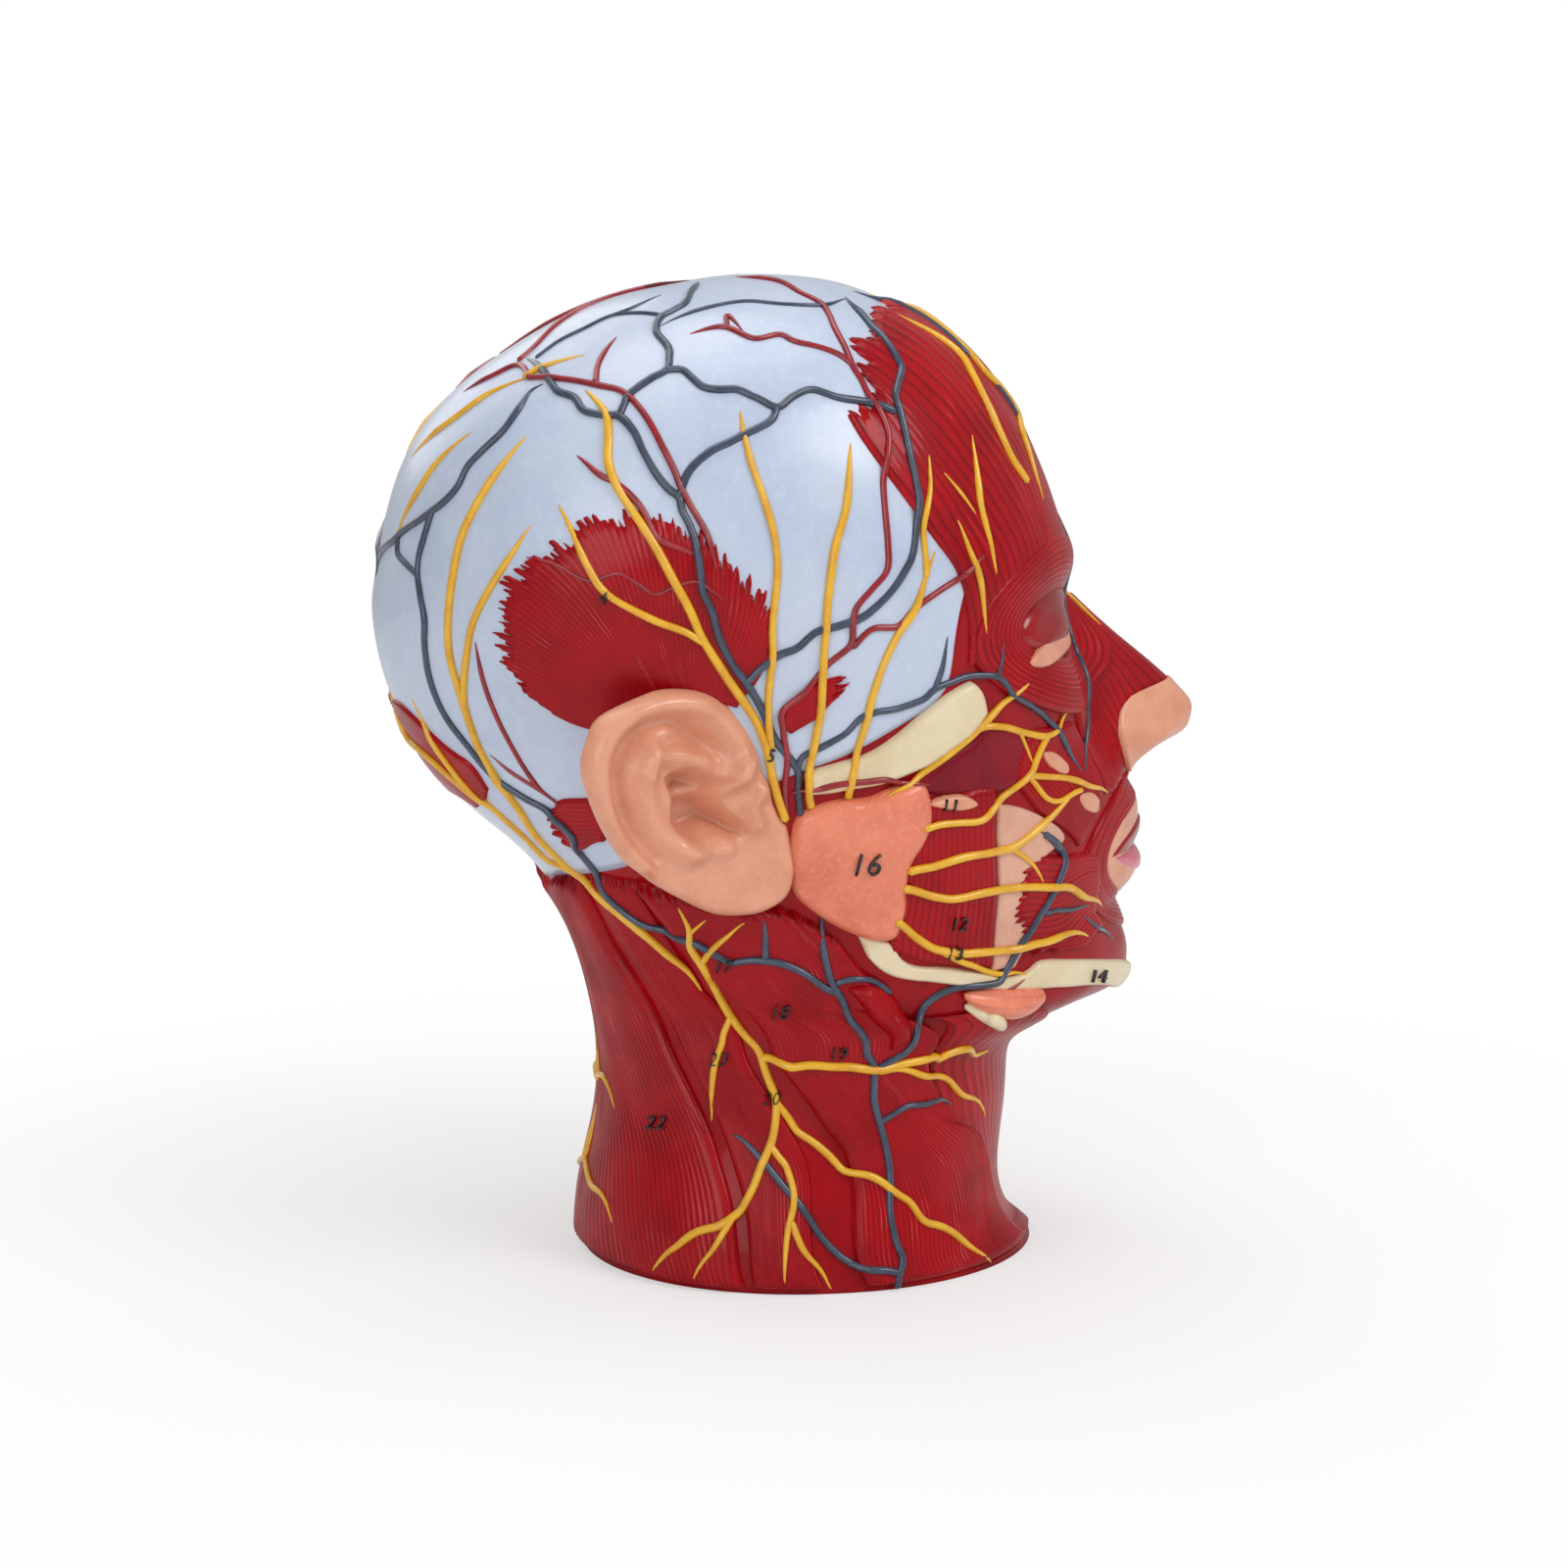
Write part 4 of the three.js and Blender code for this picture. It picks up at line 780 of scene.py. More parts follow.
def layRails(name, look):
    # a sheet of fibres between rails: each rail runs along the fibres, a smooth curve joins them across
    rails = []
    for rail in look["rails"]:
        rails.append(onMidline(rail["mid"], rail["side"]) if isinstance(rail, dict) else toDisk(rail))
    if look.get("endMirror"):
        rails = [np.vstack([line, onMidline([end])]) for line, end in zip(rails, look["ends"])]
    if look.get("mirror"):
        rails = rails + [line * [1, -1] for line in rails[-2::-1]]
    if look.get("endMirror"):
        rails = [np.vstack([line, line[-2::-1] * [1, -1]]) for line in rails]
    nv = (look["fibres"] + 1) * stride + 1
    length = runLength(headPoint(curveThrough(rails[0])))[-1]
    nu = max(int(length / look.get("spacing", sheetSpacing) / stride + 1), 3) * stride + 1
    lines = np.stack([evenLine(rail, nu, polar=look.get("endMirror")) for rail in rails])
    spots = headPoint(lines)
    gaps = np.linalg.norm(np.diff(spots, axis=0), axis=-1).mean(1)
    places = np.concatenate([[0], np.cumsum(gaps)])
    places /= places[-1]
    v = np.linspace(0, 1, nv)
    k = np.clip(np.searchsorted(places, v, "right") - 1, 0, len(places) - 2)
    span = places[k + 1] - places[k]
    t = ((v - places[k]) / span)[:, None, None]
    if look.get("toBase"):
        # across the rails by angle and depth, so that rails that end on the base share a round lower edge
        lines = turned(lines)
        lines[..., 0] = np.unwrap(lines[..., 0], axis=0)
    slopes = np.gradient(lines, places, axis=0)
    span = span[:, None, None]
    ab = (
        lines[k] * (2 * t ** 3 - 3 * t ** 2 + 1) + slopes[k] * span * (t ** 3 - 2 * t ** 2 + t)
        + lines[k + 1] * (3 * t ** 2 - 2 * t ** 3) + slopes[k + 1] * span * (t ** 3 - t ** 2)
    ).transpose(1, 0, 2)
    ab = unturned(ab) if look.get("toBase") else ab
    point = headPoint(ab)
    along, across = runLength(point), runLength(point, 1)
    heights, fibres = fibreHeights(name, look, along, along[-1:], across, across[:, -1:], v[None])
    finishSheet(name, ab, heights, fibres, along, look)


def layRing(name, look):
    # concentric fibres round a front-view oval, from the inner to the outer one
    nv = int(look["fibres"] * ringLook["perFibre"] / stride + 1) * stride + 1
    turn = np.linspace(0, 2 * math.pi, ringLook["around"], endpoint=False)[:, None]
    v = np.linspace(0, 1, nv)[None]
    (x, z), inner, outer = look["centre"], look["inner"], look["outer"]
    wide = inner[0] + (outer[0] - inner[0]) * v
    tall = inner[1] + (outer[1] - inner[1]) * v
    ab = fromFront(x + wide * np.cos(turn), z + tall * np.sin(turn))
    point = headPoint(ab)
    along, across = runLength(point), runLength(point, 1)
    place = v * look["fibres"] + 0 * turn
    within = 2 * (place % 1) - 1
    share = roundEdge(np.minimum(across, across[:, -1:] - across), look["round"])
    size = ringLook["least"] + ringLook["spread"] * seeded(name).random(look["fibres"] + 1)
    ridge = look["ridge"] * size[place.astype(int)] * fibreRound(within)
    circle = np.stack([np.cos(turn) + 0 * v, np.sin(turn) + 0 * v], -1)
    wave = look.get("wave", 0) * ripple(circle, ringLook["waveLength"], ringLook["seed"])
    heights = (look["thickness"] + ridge + wave + sink) * share - sink
    finishSheet(name, ab, heights, place, along, look, wrapped=True)


def lineDistance(points, line):
    # shortest distance from each point to a polyline
    start, step = line[:-1], np.diff(line, axis=0)
    off = points[..., None, :] - start
    share = np.clip((off * step).sum(-1) / (step ** 2).sum(-1), 0, 1)
    return np.linalg.norm(off - share[..., None] * step, axis=-1).min(-1)


def edgeDistance(points, outline):
    # the same to a closed outline
    return lineDistance(points, np.vstack([outline, outline[:1]]))


def squareGrid(n):
    # both places of each point of a square grid from -1 to 1
    return np.meshgrid(np.linspace(-1, 1, n), np.linspace(-1, 1, n), indexing="ij")


def outlineGrid(outline, centre, n):
    # a square grid drawn round and stretched to a picture outline by angle; also each point's ray to it
    x, y = squareGrid(n)
    u, w = x * np.sqrt(1 - y ** 2 / 2), y * np.sqrt(1 - x ** 2 / 2)
    turn, share = np.arctan2(w, u), np.hypot(u, w)
    off = outline - centre
    angles, reach = np.arctan2(off[:, 1], off[:, 0]), np.hypot(*off.T)
    order = np.argsort(angles)
    spread = np.interp(turn, angles[order], reach[order], period=2 * math.pi)
    ray = np.stack([np.cos(turn), np.sin(turn)], -1)
    return centre + ray * (spread * share)[..., None], share, ray, spread


# Fibres to one radian about the focus, a picture point, and the seed of the lumps
blob = {"fan": 20, "focus": (600, 700), "seed": 11}


def layPad(name, look):
    # a rounded pad on a plane of its own, for hollows where the head's own surface folds
    outline = curveThrough(look["outline"], 8, closed=True)
    px, share, _, _ = outlineGrid(outline, outline.mean(0), look["cells"] + 1)
    seat = headPoint(toDisk([look["seat"]]))[0]
    normal = np.array(look["facing"]) / np.linalg.norm(look["facing"])
    edge = edgeDistance(px, outline) * pixel
    rise = look["thickness"] * roundEdge(edge, look["round"]) + look["dome"] * (1 - share ** 2)
    flat = onPlane(px, seat, normal)
    size, tall = look["lumps"]
    rise = rise + tall * ripple(flat, size, blob["seed"]) * np.minimum(edge / look["round"], 1)
    bottom = flat[coarse] - normal * look["depth"] * (1 - share[coarse] ** 2)[..., None]
    points = stacked(flat + normal * rise[..., None], bottom - normal * underside / 2)
    uv = px / [1, look["fibrePx"]]
    faces = orient(points, sheetFaces(len(px), len(px), False))
    bothSides(name, points, faces, look["material"], stacked(uv, uv[coarse]), look["node"])


def layBlob(name, look):
    # a rounded pad inside an outline: a square grid drawn round, its rim on the outline by angle
    n = look["cells"] + 1
    if "oval" in look:
        x, y = squareGrid(n)
        (middle, z), (wide, tall) = look["oval"]
        slant, corners, taper = look.get("slant", 0), look.get("corners", 0), look.get("taper", 0)

        def drawn(x, y):
            # round for no corners, and a full rectangle for 1
            across = x * (corners + (1 - corners) * np.sqrt(1 - y ** 2 / 2))
            up = y * (corners + (1 - corners) * np.sqrt(1 - x ** 2 / 2))
            return fromFront(middle + wide * across * (1 - taper * up), z + tall * up + slant * wide * across)

        share = np.maximum(np.abs(x), np.abs(y))
        toRim = 1 / np.maximum(share, 1e-9)
        ab, rim = drawn(x, y), drawn(x * toRim, y * toRim)
        rim[n // 2, n // 2] = rim[0, n // 2]
        point = headPoint(ab)
        edge = np.linalg.norm(point - headPoint(rim), axis=-1)
        along, fan = runLength(point), blob["fan"] * y
    else:
        outline = curveThrough(look["outline"], 8, closed=True)
        px, share, _, _ = outlineGrid(outline, outline.mean(0), n)
        ab = toDisk(px).reshape(px.shape)
        point = headPoint(ab)
        edge = edgeDistance(px, outline) * pixel
        off = px - look.get("focus", blob["focus"])
        along, fan = np.hypot(off[..., 0], off[..., 1]) * pixel, np.arctan2(off[..., 1], off[..., 0])
        fan = np.unwrap(np.unwrap(fan, axis=0), axis=1) * look.get("fan", blob["fan"])
    thickness = look["thickness"] + look.get("dome", 0) * (1 - share ** 2)
    heights = (thickness + sink) * roundEdge(edge, look["round"]) - sink
    if look.get("lumps"):
        size, tall = look["lumps"]
        heights = heights + tall * ripple(point, size, blob["seed"]) * np.minimum(edge / look["round"], 1)
    finishSheet(name, ab, heights, fan, along, look)


# Grid places across and up, the least height between the two edges, and fibres
patch = {"across": 65, "up": 33, "least": 0.0004, "fibres": 10}


def layFront(name, look):
    # a patch drawn in the front view, across the middle: full between its low and high edges
    u, v = np.meshgrid(np.linspace(-1, 1, patch["across"]), np.linspace(0, 1, patch["up"]), indexing="ij")
    low, high = look["low"](u), look["high"](u)
    high = np.maximum(high, low + patch["least"])
    ab = fromFront(u * look["halfWide"], low + (high - low) * v)
    point = headPoint(ab)
    across = runLength(point, 1)
    edge = np.minimum(across, across[:, -1:] - across)
    ends = (1 - np.abs(u)) * look["halfWide"]
    share = roundEdge(np.minimum(edge, ends), look["round"])
    heights = (look["thickness"] + sink) * share - sink
    finishSheet(name, ab, heights, v * patch["fibres"], runLength(point), {**look, "crossing": True})


# Shells: the blue-grey scalp over the red face and neck, each a closed wall
shells = {
    "wall": 0.0035, "overlap": 0.0006, "columns": 400, "scalpRows": 150, "faceRows": 184, "crowding": 0.42,
    "scalpInside": 10, "faceInside": 12, "crown": 0.004, "tuck": 0.004, "fadeRows": 6,
}
# The plate that closes the neck: a disk with a small round edge, inside the wall
plate = {
    "thickness": 0.004, "bevel": 0.0006, "gap": 0.0003, "halfBreadth": 0.05, "rings": 6, "hub": 0.02,
    "shoulder": 0.9,
}
scalpEdgePx = [
    (1045, 480), (1010, 520), (985, 600), (968, 700), (916, 742), (856, 774), (822, 786), (760, 815),
    (700, 850), (632, 886), (575, 893),
]
scalpNapePx = (556, 893)


def scalpEdge():
    # depth of the scalp's edge against the angle round the crown, the same on both sides
    edge = toDisk(scalpEdgePx[1:])
    front, back = onMidline(scalpEdgePx[:1]), onMidline([scalpNapePx], -1)
    line = np.vstack([front, edge, back])
    angles = np.abs(np.arctan2(line[:, 1], line[:, 0]))
    order = np.argsort(angles)
    return softTable(np.stack([angles[order], np.hypot(*line[order].T)], -1), 0, math.pi, spreads["edge"])


def shellRows(fromDepth, toDepth, rows):
    # disk places in rings that go evenly from one depth to the other
    depth = fromDepth + (toDepth - fromDepth) * np.linspace(0, 1, rows)[:, None]
    return np.stack([depth * np.cos(shellAngles), depth * np.sin(shellAngles)], -1)


# Shell columns crowd towards the face, where the forms are finer
shellTurn = np.linspace(0, 2 * math.pi, shells["columns"], endpoint=False)
shellAngles = shellTurn - shells["crowding"] * np.sin(shellTurn)
scalpDepths = scalpEdge()(np.abs((shellAngles + math.pi) % (2 * math.pi) - math.pi))


def capFaces(rows, columns):
    # one many-sided face on the first ring, and one on the last
    ring = np.arange(columns)
    return [ring.tolist(), ((rows - 1) * columns + ring[::-1]).tolist()]


def buildScalp():
    # rings from the crown's small circle out to the edge, then back up inside by the wall's thickness
    outer = shellRows(shells["crown"], scalpDepths, shells["scalpRows"])
    inside, insideNormal = headFrame(outer[::-shells["scalpInside"]])
    lines = np.concatenate([headPoint(outer), inside - insideNormal * shells["wall"]])
    faces = gridFaces(*lines.shape[:2], closedColumns=True).tolist() + capFaces(*lines.shape[:2])
    makeObject("scalpShell", lines, orient(lines, faces), "scalp", None, ["cranial_shell"])


def buildFace():
    # rings from under the scalp's edge down to the base, a hair lower at first, then back up inside
    outer = shellRows(scalpDepths - shells["tuck"], np.ones_like(scalpDepths), shells["faceRows"])
    point, normal = headFrame(outer)
    fade = 1 - np.clip(np.arange(len(outer)) / shells["fadeRows"], 0, 1)
    lowered = point - normal * (shells["overlap"] * fade)[:, None, None]
    lowered[-1, :, 2] = 0
    inside, insideNormal = headFrame(outer[::-shells["faceInside"]])
    insideNormal[0, :, 2] = 0
    inwards = inside - insideNormal * shells["wall"]
    inwards[0, :, 2] = 0
    lines = np.concatenate([lowered, inwards])
    rows, columns = lines.shape[:2]
    here = np.arange(columns)
    beside, last = (here + 1) % columns, (rows - 1) * columns
    close = np.stack([last + here, here, beside, last + beside], -1)
    faces = np.concatenate([gridFaces(rows, columns, closedColumns=True), close]).tolist()
    makeObject("faceNeckShell", lines, orient(lines, faces), "ground", None, ["face_neck_shell"])


def buildPlate():
    # the neck's inner outline, the nearest over the plate's height, carried in and out along a profile
    rimPoint, rimNormal = headFrame(shellRows(float(depthOf(plate["thickness"])), 1.0, plate["rings"]))
    rimNormal[..., 2] = 0
    inwards = (rimPoint - rimNormal * (shells["wall"] + plate["gap"])) * [1, 1, 0]
    centre = inwards[-1].mean(0)
    nearest = np.linalg.norm(inwards - centre, axis=-1).argmin(0)
    outline = inwards[nearest, np.arange(len(nearest))]
    bevelled = 1 - plate["bevel"] / plate["halfBreadth"]
    half = [(plate["hub"], 0), (plate["shoulder"], 0), (bevelled, 0), (1, plate["bevel"])]
    profile = half + [(share, plate["thickness"] - height) for share, height in half[::-1]]
    share, height = np.array(profile).T
    lines = centre + (outline - centre) * share[:, None, None]
    lines[..., 2] = height[:, None]
    faces = gridFaces(*lines.shape[:2], closedColumns=True).tolist() + capFaces(*lines.shape[:2])
    makeObject("basePlate", lines, orient(lines, faces), "plate", None, ["base_plate"])


def orient(points, faces):
    # turns all faces round if the closed body's volume, the sum of its corner pyramids, is negative
    points = points.reshape(-1, 3)
    volume = 0.0
    for size in sorted({len(face) for face in faces}):
        group = np.array([face for face in faces if len(face) == size])
        first = points[group[:, 0]]
        for k in range(1, size - 1):
            across = np.cross(points[group[:, k]], points[group[:, k + 1]])
            volume += np.einsum("ij,ij->i", first, across).sum()
    return [face[::-1] for face in faces] if volume < 0 else faces


buildScalp()
buildFace()
buildPlate()
print("shells made")

# Muscles, bones and glands in the order in which they lie on each other
layRails("frontalisSheet", {
    "node": "frontalis", "crossing": True, "mirror": True, "thickness": 0.0013, "round": 0.0016,
    "fibres": 52, "ridge": 0.00028, "fringe": (0.006, 0.001), "startRound": 0.003, "rails": [
        [(858, 416), (880, 452), (915, 500), (950, 548), (978, 590), (989, 640), (988, 688)],
        [(884, 405), (918, 450), (955, 505), (990, 560), (1008, 610), (1012, 655)],
        [(868, 365), (915, 405), (965, 460), (1005, 515), (1030, 560), (1038, 595)],
        [(866, 335), (925, 365), (985, 425), (1025, 485), (1050, 535), (1060, 580)],
        [(885, 308), (945, 343), (1002, 402), (1042, 470), (1064, 530), (1072, 582)],
        {"mid": [(905, 306), (962, 341), (1024, 420), (1057, 500), (1072, 560), (1080, 600)], "side": 1},
    ],
})
layRing("orbicularis", {
    "node": "orbicularis_oculi", "centre": (-0.0332, 0.1742), "inner": (0.0168, 0.0088),
    "outer": (0.0288, 0.0245), "fibres": 11, "ridge": 0.0003, "thickness": 0.0017, "round": 0.002,
    "wave": 0.0002,
})
layBlob("upperLid", {
    "node": "eyelids", "material": "lid", "oval": ((-0.0336, 0.1756), (0.0170, 0.0094)),
    "thickness": 0.0018, "dome": 0.0022, "round": 0.005, "cells": 64, "slant": 0.14,
})
layBlob("lowerLid", {
    "material": "flesh", "oval": ((-0.0342, 0.1690), (0.0172, 0.0038)), "thickness": 0.0026, "dome": 0.0008,
    "round": 0.0022, "cells": 44, "slant": 0.2,
})
layRails("masseter", {
    "node": "masseter", "thickness": 0.002, "round": 0.0025, "fibres": 16, "ridge": 0.0003, "belly": 0.0008,
    "rails": [
        [(925, 815), (925, 860), (918, 910), (908, 950), (905, 972)],
        [(955, 812), (950, 870), (946, 930), (942, 982)],
        [(975, 808), (972, 870), (970, 930), (967, 986)],
        [(995, 800), (994, 870), (993, 930), (990, 988)],
        [(1013, 800), (1015, 870), (1015, 940), (1012, 989)],
    ],
})
layBlob("deepCheek", {
    "material": "deep", "thickness": 0.0012, "round": 0.003, "cells": 40, "fan": 60, "focus": (1000, 600),
    "outline": [
        (930, 800), (960, 776), (990, 757), (1012, 738), (1045, 750), (1056, 780), (1040, 802),
        (1000, 812), (955, 812),
    ],
})
layRails("buccalStrip", {
    "node": "buccal_strip", "material": "buccal", "thickness": 0.0009, "round": 0.0012, "fibres": 6,
    "ridge": 0.0, "rails": [
        [(1016, 819), (1016, 870), (1015, 930), (1011, 994)],
        [(1062, 834), (1086, 856), (1064, 876), (1044, 900), (1046, 930), (1048, 960), (1034, 990)],
    ],
})
layRails("zygomaticMuscle", {
    "node": "zygomatic_muscle", "thickness": 0.0014, "round": 0.0015, "fibres": 22, "ridge": 0.00022,
    "rails": [
        [(1092, 735), (1108, 768), (1124, 806)],
        [(1072, 740), (1092, 785), (1116, 828)],
        [(1050, 745), (1078, 795), (1112, 843)],
        [(1036, 770), (1066, 815), (1106, 856)],
        [(1034, 800), (1062, 832), (1100, 866)],
    ],
})
layRails("levatorLabii", {
    "thickness": 0.0013, "round": 0.0014, "fibres": 12, "ridge": 0.00022, "rails": [
        [(1082, 690), (1098, 735), (1118, 790), (1126, 812)],
        [(1098, 690), (1114, 735), (1130, 785), (1136, 806)],
        [(1112, 690), (1126, 730), (1138, 770), (1142, 795)],
    ],
})
layRails("depressorMuscle", {
    "thickness": 0.0014, "round": 0.0015, "fibres": 20, "ridge": 0.00024, "fringe": (0.0, 0.004), "rails": [
        [(1116, 872), (1085, 872), (1052, 874)],
        [(1120, 884), (1080, 892), (1034, 898)],
        [(1120, 898), (1078, 916), (1031, 926)],
        [(1118, 914), (1080, 940), (1032, 955)],
        [(1116, 930), (1088, 958), (1044, 976)],
        [(1124, 946), (1104, 966), (1072, 976)],
    ],
})
for name, outline in (
    ("cheekSpotHigh", [(1060, 768), (1072, 767), (1086, 781), (1083, 791), (1067, 782)]),
    ("cheekSpotLow", [(1097, 812), (1110, 808), (1122, 822), (1118, 830), (1103, 825)]),
):
    layBlob(name, {
        "material": "flesh", "thickness": 0.0005, "round": 0.0008, "cells": 20, "over": True,
        "outline": outline,
    })
layBlob("parotidDuct", {
    "material": "flesh", "thickness": 0.0008, "round": 0.001, "cells": 24, "over": True,
    "outline": [(944, 819), (960, 812), (980, 810), (994, 819), (980, 825), (962, 824)],
})
layRails("zygomaticArch", {
    "node": "zygomatic_arch", "material": "bone", "thickness": 0.0026, "round": 0.0022, "fibres": 10,
    "ridge": 0.0, "rails": [
        [(820, 789), (855, 778), (887, 767), (916, 748), (948, 722), (973, 703), (990, 694)],
        [(821, 800), (855, 792), (895, 782), (930, 764), (960, 740), (985, 718), (1000, 702)],
        [(822, 812), (855, 808), (900, 800), (938, 785), (962, 770), (988, 750), (1006, 726)],
    ],
})
layBlob("parotidGland", {
    "node": "parotid_gland", "material": "gland", "thickness": 0.0034, "dome": 0.001, "round": 0.003,
    "cells": 96, "lumps": (0.006, 0.00016), "focus": (800, 880), "fan": 45, "outline": [
        (807, 850), (812, 834), (823, 825), (855, 815), (884, 813), (909, 803), (936, 796), (947, 809),
        (950, 838), (942, 860), (930, 880), (925, 902), (923, 931), (913, 956), (890, 959), (868, 952),
        (846, 941), (820, 922), (807, 905), (803, 880),
    ],
})
layRails("mandibleStrip", {
    "node": "mandible", "crossing": True, "endMirror": True, "material": "bone", "thickness": 0.0016,
    "round": 0.0014, "fibres": 6, "ridge": 0.0, "spacing": 0.0016, "ends": [(1148, 978), (1132, 1002)],
    "rails": [
        [(873, 953), (897, 957), (910, 963), (919, 977), (935, 985), (973, 987), (1024, 996), (1047, 990),
         (1062, 979), (1094, 978), (1120, 978), (1138, 978)],
        [(884, 975), (896, 988), (910, 996), (928, 1000), (950, 1002), (989, 1007), (1024, 1011),
         (1050, 1010), (1072, 1008), (1090, 1007), (1108, 1005), (1122, 1003)],
    ],
})
layPad("submandibularGland", {
    "node": "submandibular_gland", "material": "gland", "thickness": 0.0022, "dome": 0.0022, "round": 0.004,
    "cells": 48, "lumps": (0.006, 0.00022), "seat": (1024, 1020), "facing": (-0.72, -0.28, -0.35),
    "depth": 0.008, "fibrePx": 8, "outline": [
        (984, 1016), (1011, 1010), (1043, 1007), (1063, 1009), (1065, 1019), (1048, 1034), (1024, 1039),
        (1000, 1032),
    ],
})
layRing("orbicularisOris", {
    "crossing": True, "centre": (0.0, 0.1085), "inner": (0.0245, 0.0130), "outer": (0.034, 0.0235),
    "fibres": 9, "ridge": 0.00025, "thickness": 0.0011, "round": 0.0018,
})
layRails("noseMuscle", {
    "crossing": True, "mirror": True, "thickness": 0.0007, "round": 0.0012, "fibres": 20, "ridge": 0.00012,
    "rails": [
        [(1090, 655), (1105, 690), (1122, 730), (1136, 764)],
        [(1094, 640), (1115, 675), (1133, 704), (1144, 728)],
        [(1096, 624), (1120, 655), (1148, 688), (1162, 708)],
        {"mid": [(1088, 604), (1112, 625), (1150, 658), (1192, 695)], "side": 1},
    ],
})
layBlob("noseTip", {
    "node": "nose_tip", "crossing": True, "material": "flesh", "thickness": 0.0014, "dome": -0.0008,
    "round": 0.0009, "cells": 96, "oval": ((0.0, 0.1415), (0.0184, 0.0132)), "corners": 0.12, "taper": 0.14,
})
layBlob("lipRim", {
    "node": "lips", "crossing": True, "material": "flesh", "thickness": 0.001, "round": 0.0014, "cells": 64,
    "oval": ((0.0, 0.1090), (0.0258, 0.0142)),
})
layFront("upperLip", {
    "material": "lid", "halfWide": 0.0235, "thickness": 0.0016, "round": 0.002,
    "low": lambda u: 0.1080 - 0.0004 * u ** 2,
    "high": lambda u: 0.1186 - 0.0096 * np.abs(u) ** 1.8 - 0.0014 * np.exp(-(u / 0.16) ** 2),
})
layFront("lowerLip", {
    "material": "lipPink", "halfWide": 0.0225, "thickness": 0.0018, "round": 0.002,
    "low": lambda u: 0.1010 + 0.0070 * np.abs(u) ** 2.2, "high": lambda u: 0.1088 - 0.0008 * u ** 2,
})
layRails("throatStraps", {
    "node": "infrahyoid_straps", "crossing": True, "mirror": True, "thickness": 0.0012, "round": 0.0015,
    "fibres": 30, "ridge": 0.00028, "endRound": 0.0004, "toBase": True, "rails": [
        [(928, 1040), (945, 1095), (964, 1150), (984, 1200), (1004, 1245), (1014, 1295)],
        [(960, 1038), (968, 1095), (981, 1150), (998, 1200), (1018, 1245), (1028, 1286)],
        [(990, 1038), (993, 1095), (998, 1150), (1007, 1200), (1029, 1245), (1040, 1275)],
        {"mid": [(1026, 1042), (1016, 1100), (1009, 1150), (1008, 1195), (1029, 1240), (1042, 1262)],
         "side": 1},
    ],
})
# What the three broad muscles of the neck share
neckLook = {
    "ridge": 0.0003, "fringe": (0.003, 0.0), "endRound": 0.0004, "spacing": 0.0014, "toBase": True,
}
layRails("trapeziusSheet", {
    **neckLook, "node": "trapezius", "crossing": True, "mirror": True, "thickness": 0.0024, "round": 0.004,
    "fibres": 64, "rails": [
        [(588, 891), (621, 951), (652, 1000), (684, 1062), (712, 1121), (735, 1180), (752, 1250),
         (764, 1322)],
        [(580, 891), (604, 960), (632, 1040), (657, 1120), (677, 1210), (692, 1308)],
        [(572, 892), (596, 960), (617, 1040), (631, 1120), (632, 1200), (640, 1292)],
        {"mid": [(556, 891), (587, 941), (612, 1021), (620, 1101), (607, 1181), (596, 1262)], "side": -1},
    ],
})
layRails("splenius", {
    **neckLook, "thickness": 0.0018, "round": 0.003, "fibres": 22, "rails": [
        [(594, 890), (628, 945), (660, 996), (692, 1058), (722, 1120), (745, 1180), (762, 1250), (772, 1322)],
        [(614, 891), (652, 950), (692, 1015), (728, 1085), (758, 1150), (782, 1220), (800, 1322)],
        [(640, 896), (678, 950), (720, 1010), (762, 1075), (800, 1140), (828, 1210), (846, 1322)],
    ],
})
layRails("sternocleidomastoid", {
    **neckLook, "node": "sternocleidomastoid", "thickness": 0.0032, "round": 0.005, "fibres": 44, "rails": [
        [(636, 893), (685, 950), (735, 1005), (785, 1070), (833, 1140), (868, 1210), (888, 1318)],
        [(690, 905), (740, 965), (790, 1025), (840, 1090), (885, 1157), (920, 1235), (938, 1311)],
        [(745, 915), (795, 970), (845, 1030), (895, 1095), (938, 1158), (972, 1228), (992, 1302)],
        [(800, 925), (848, 975), (890, 1030), (930, 1088), (966, 1143), (998, 1205), (1028, 1286)],
        [(848, 950), (888, 1000), (922, 1048), (948, 1098), (970, 1138), (993, 1182), (1011, 1225),
         (1044, 1263)],
    ],
})
layRails("digastric", {
    "thickness": 0.002, "belly": 0.0016, "round": 0.003, "fibres": 10, "ridge": 0.0003, "over": True,
    "rails": [
        [(862, 1003), (876, 1020), (892, 1042), (903, 1068)],
        [(880, 1000), (896, 1015), (910, 1036), (916, 1060)],
        [(900, 1004), (914, 1018), (924, 1038), (922, 1058)],
    ],
})
layRails("superiorAuricular", {
    "node": "superior_auricular", "thickness": 0.0009, "round": 0.001, "fibres": 74, "ridge": 0.0001,
    "fringe": (0.0, 0.0045), "endRound": 0.0016, "spacing": 0.0009, "rails": [
        [(632, 754), (588, 740), (552, 722)],
        [(642, 742), (580, 715), (510, 682)],
        [(652, 735), (580, 688), (500, 648)],
        [(664, 730), (590, 662), (502, 600)],
        [(676, 727), (612, 640), (540, 566)],
        [(688, 724), (645, 625), (602, 522)],
        [(702, 722), (682, 630), (666, 518)],
        [(716, 722), (715, 640), (712, 536)],
        [(730, 722), (745, 650), (758, 575)],
        [(742, 722), (766, 665), (790, 612)],
        [(752, 724), (772, 697), (792, 660)],
    ],
})
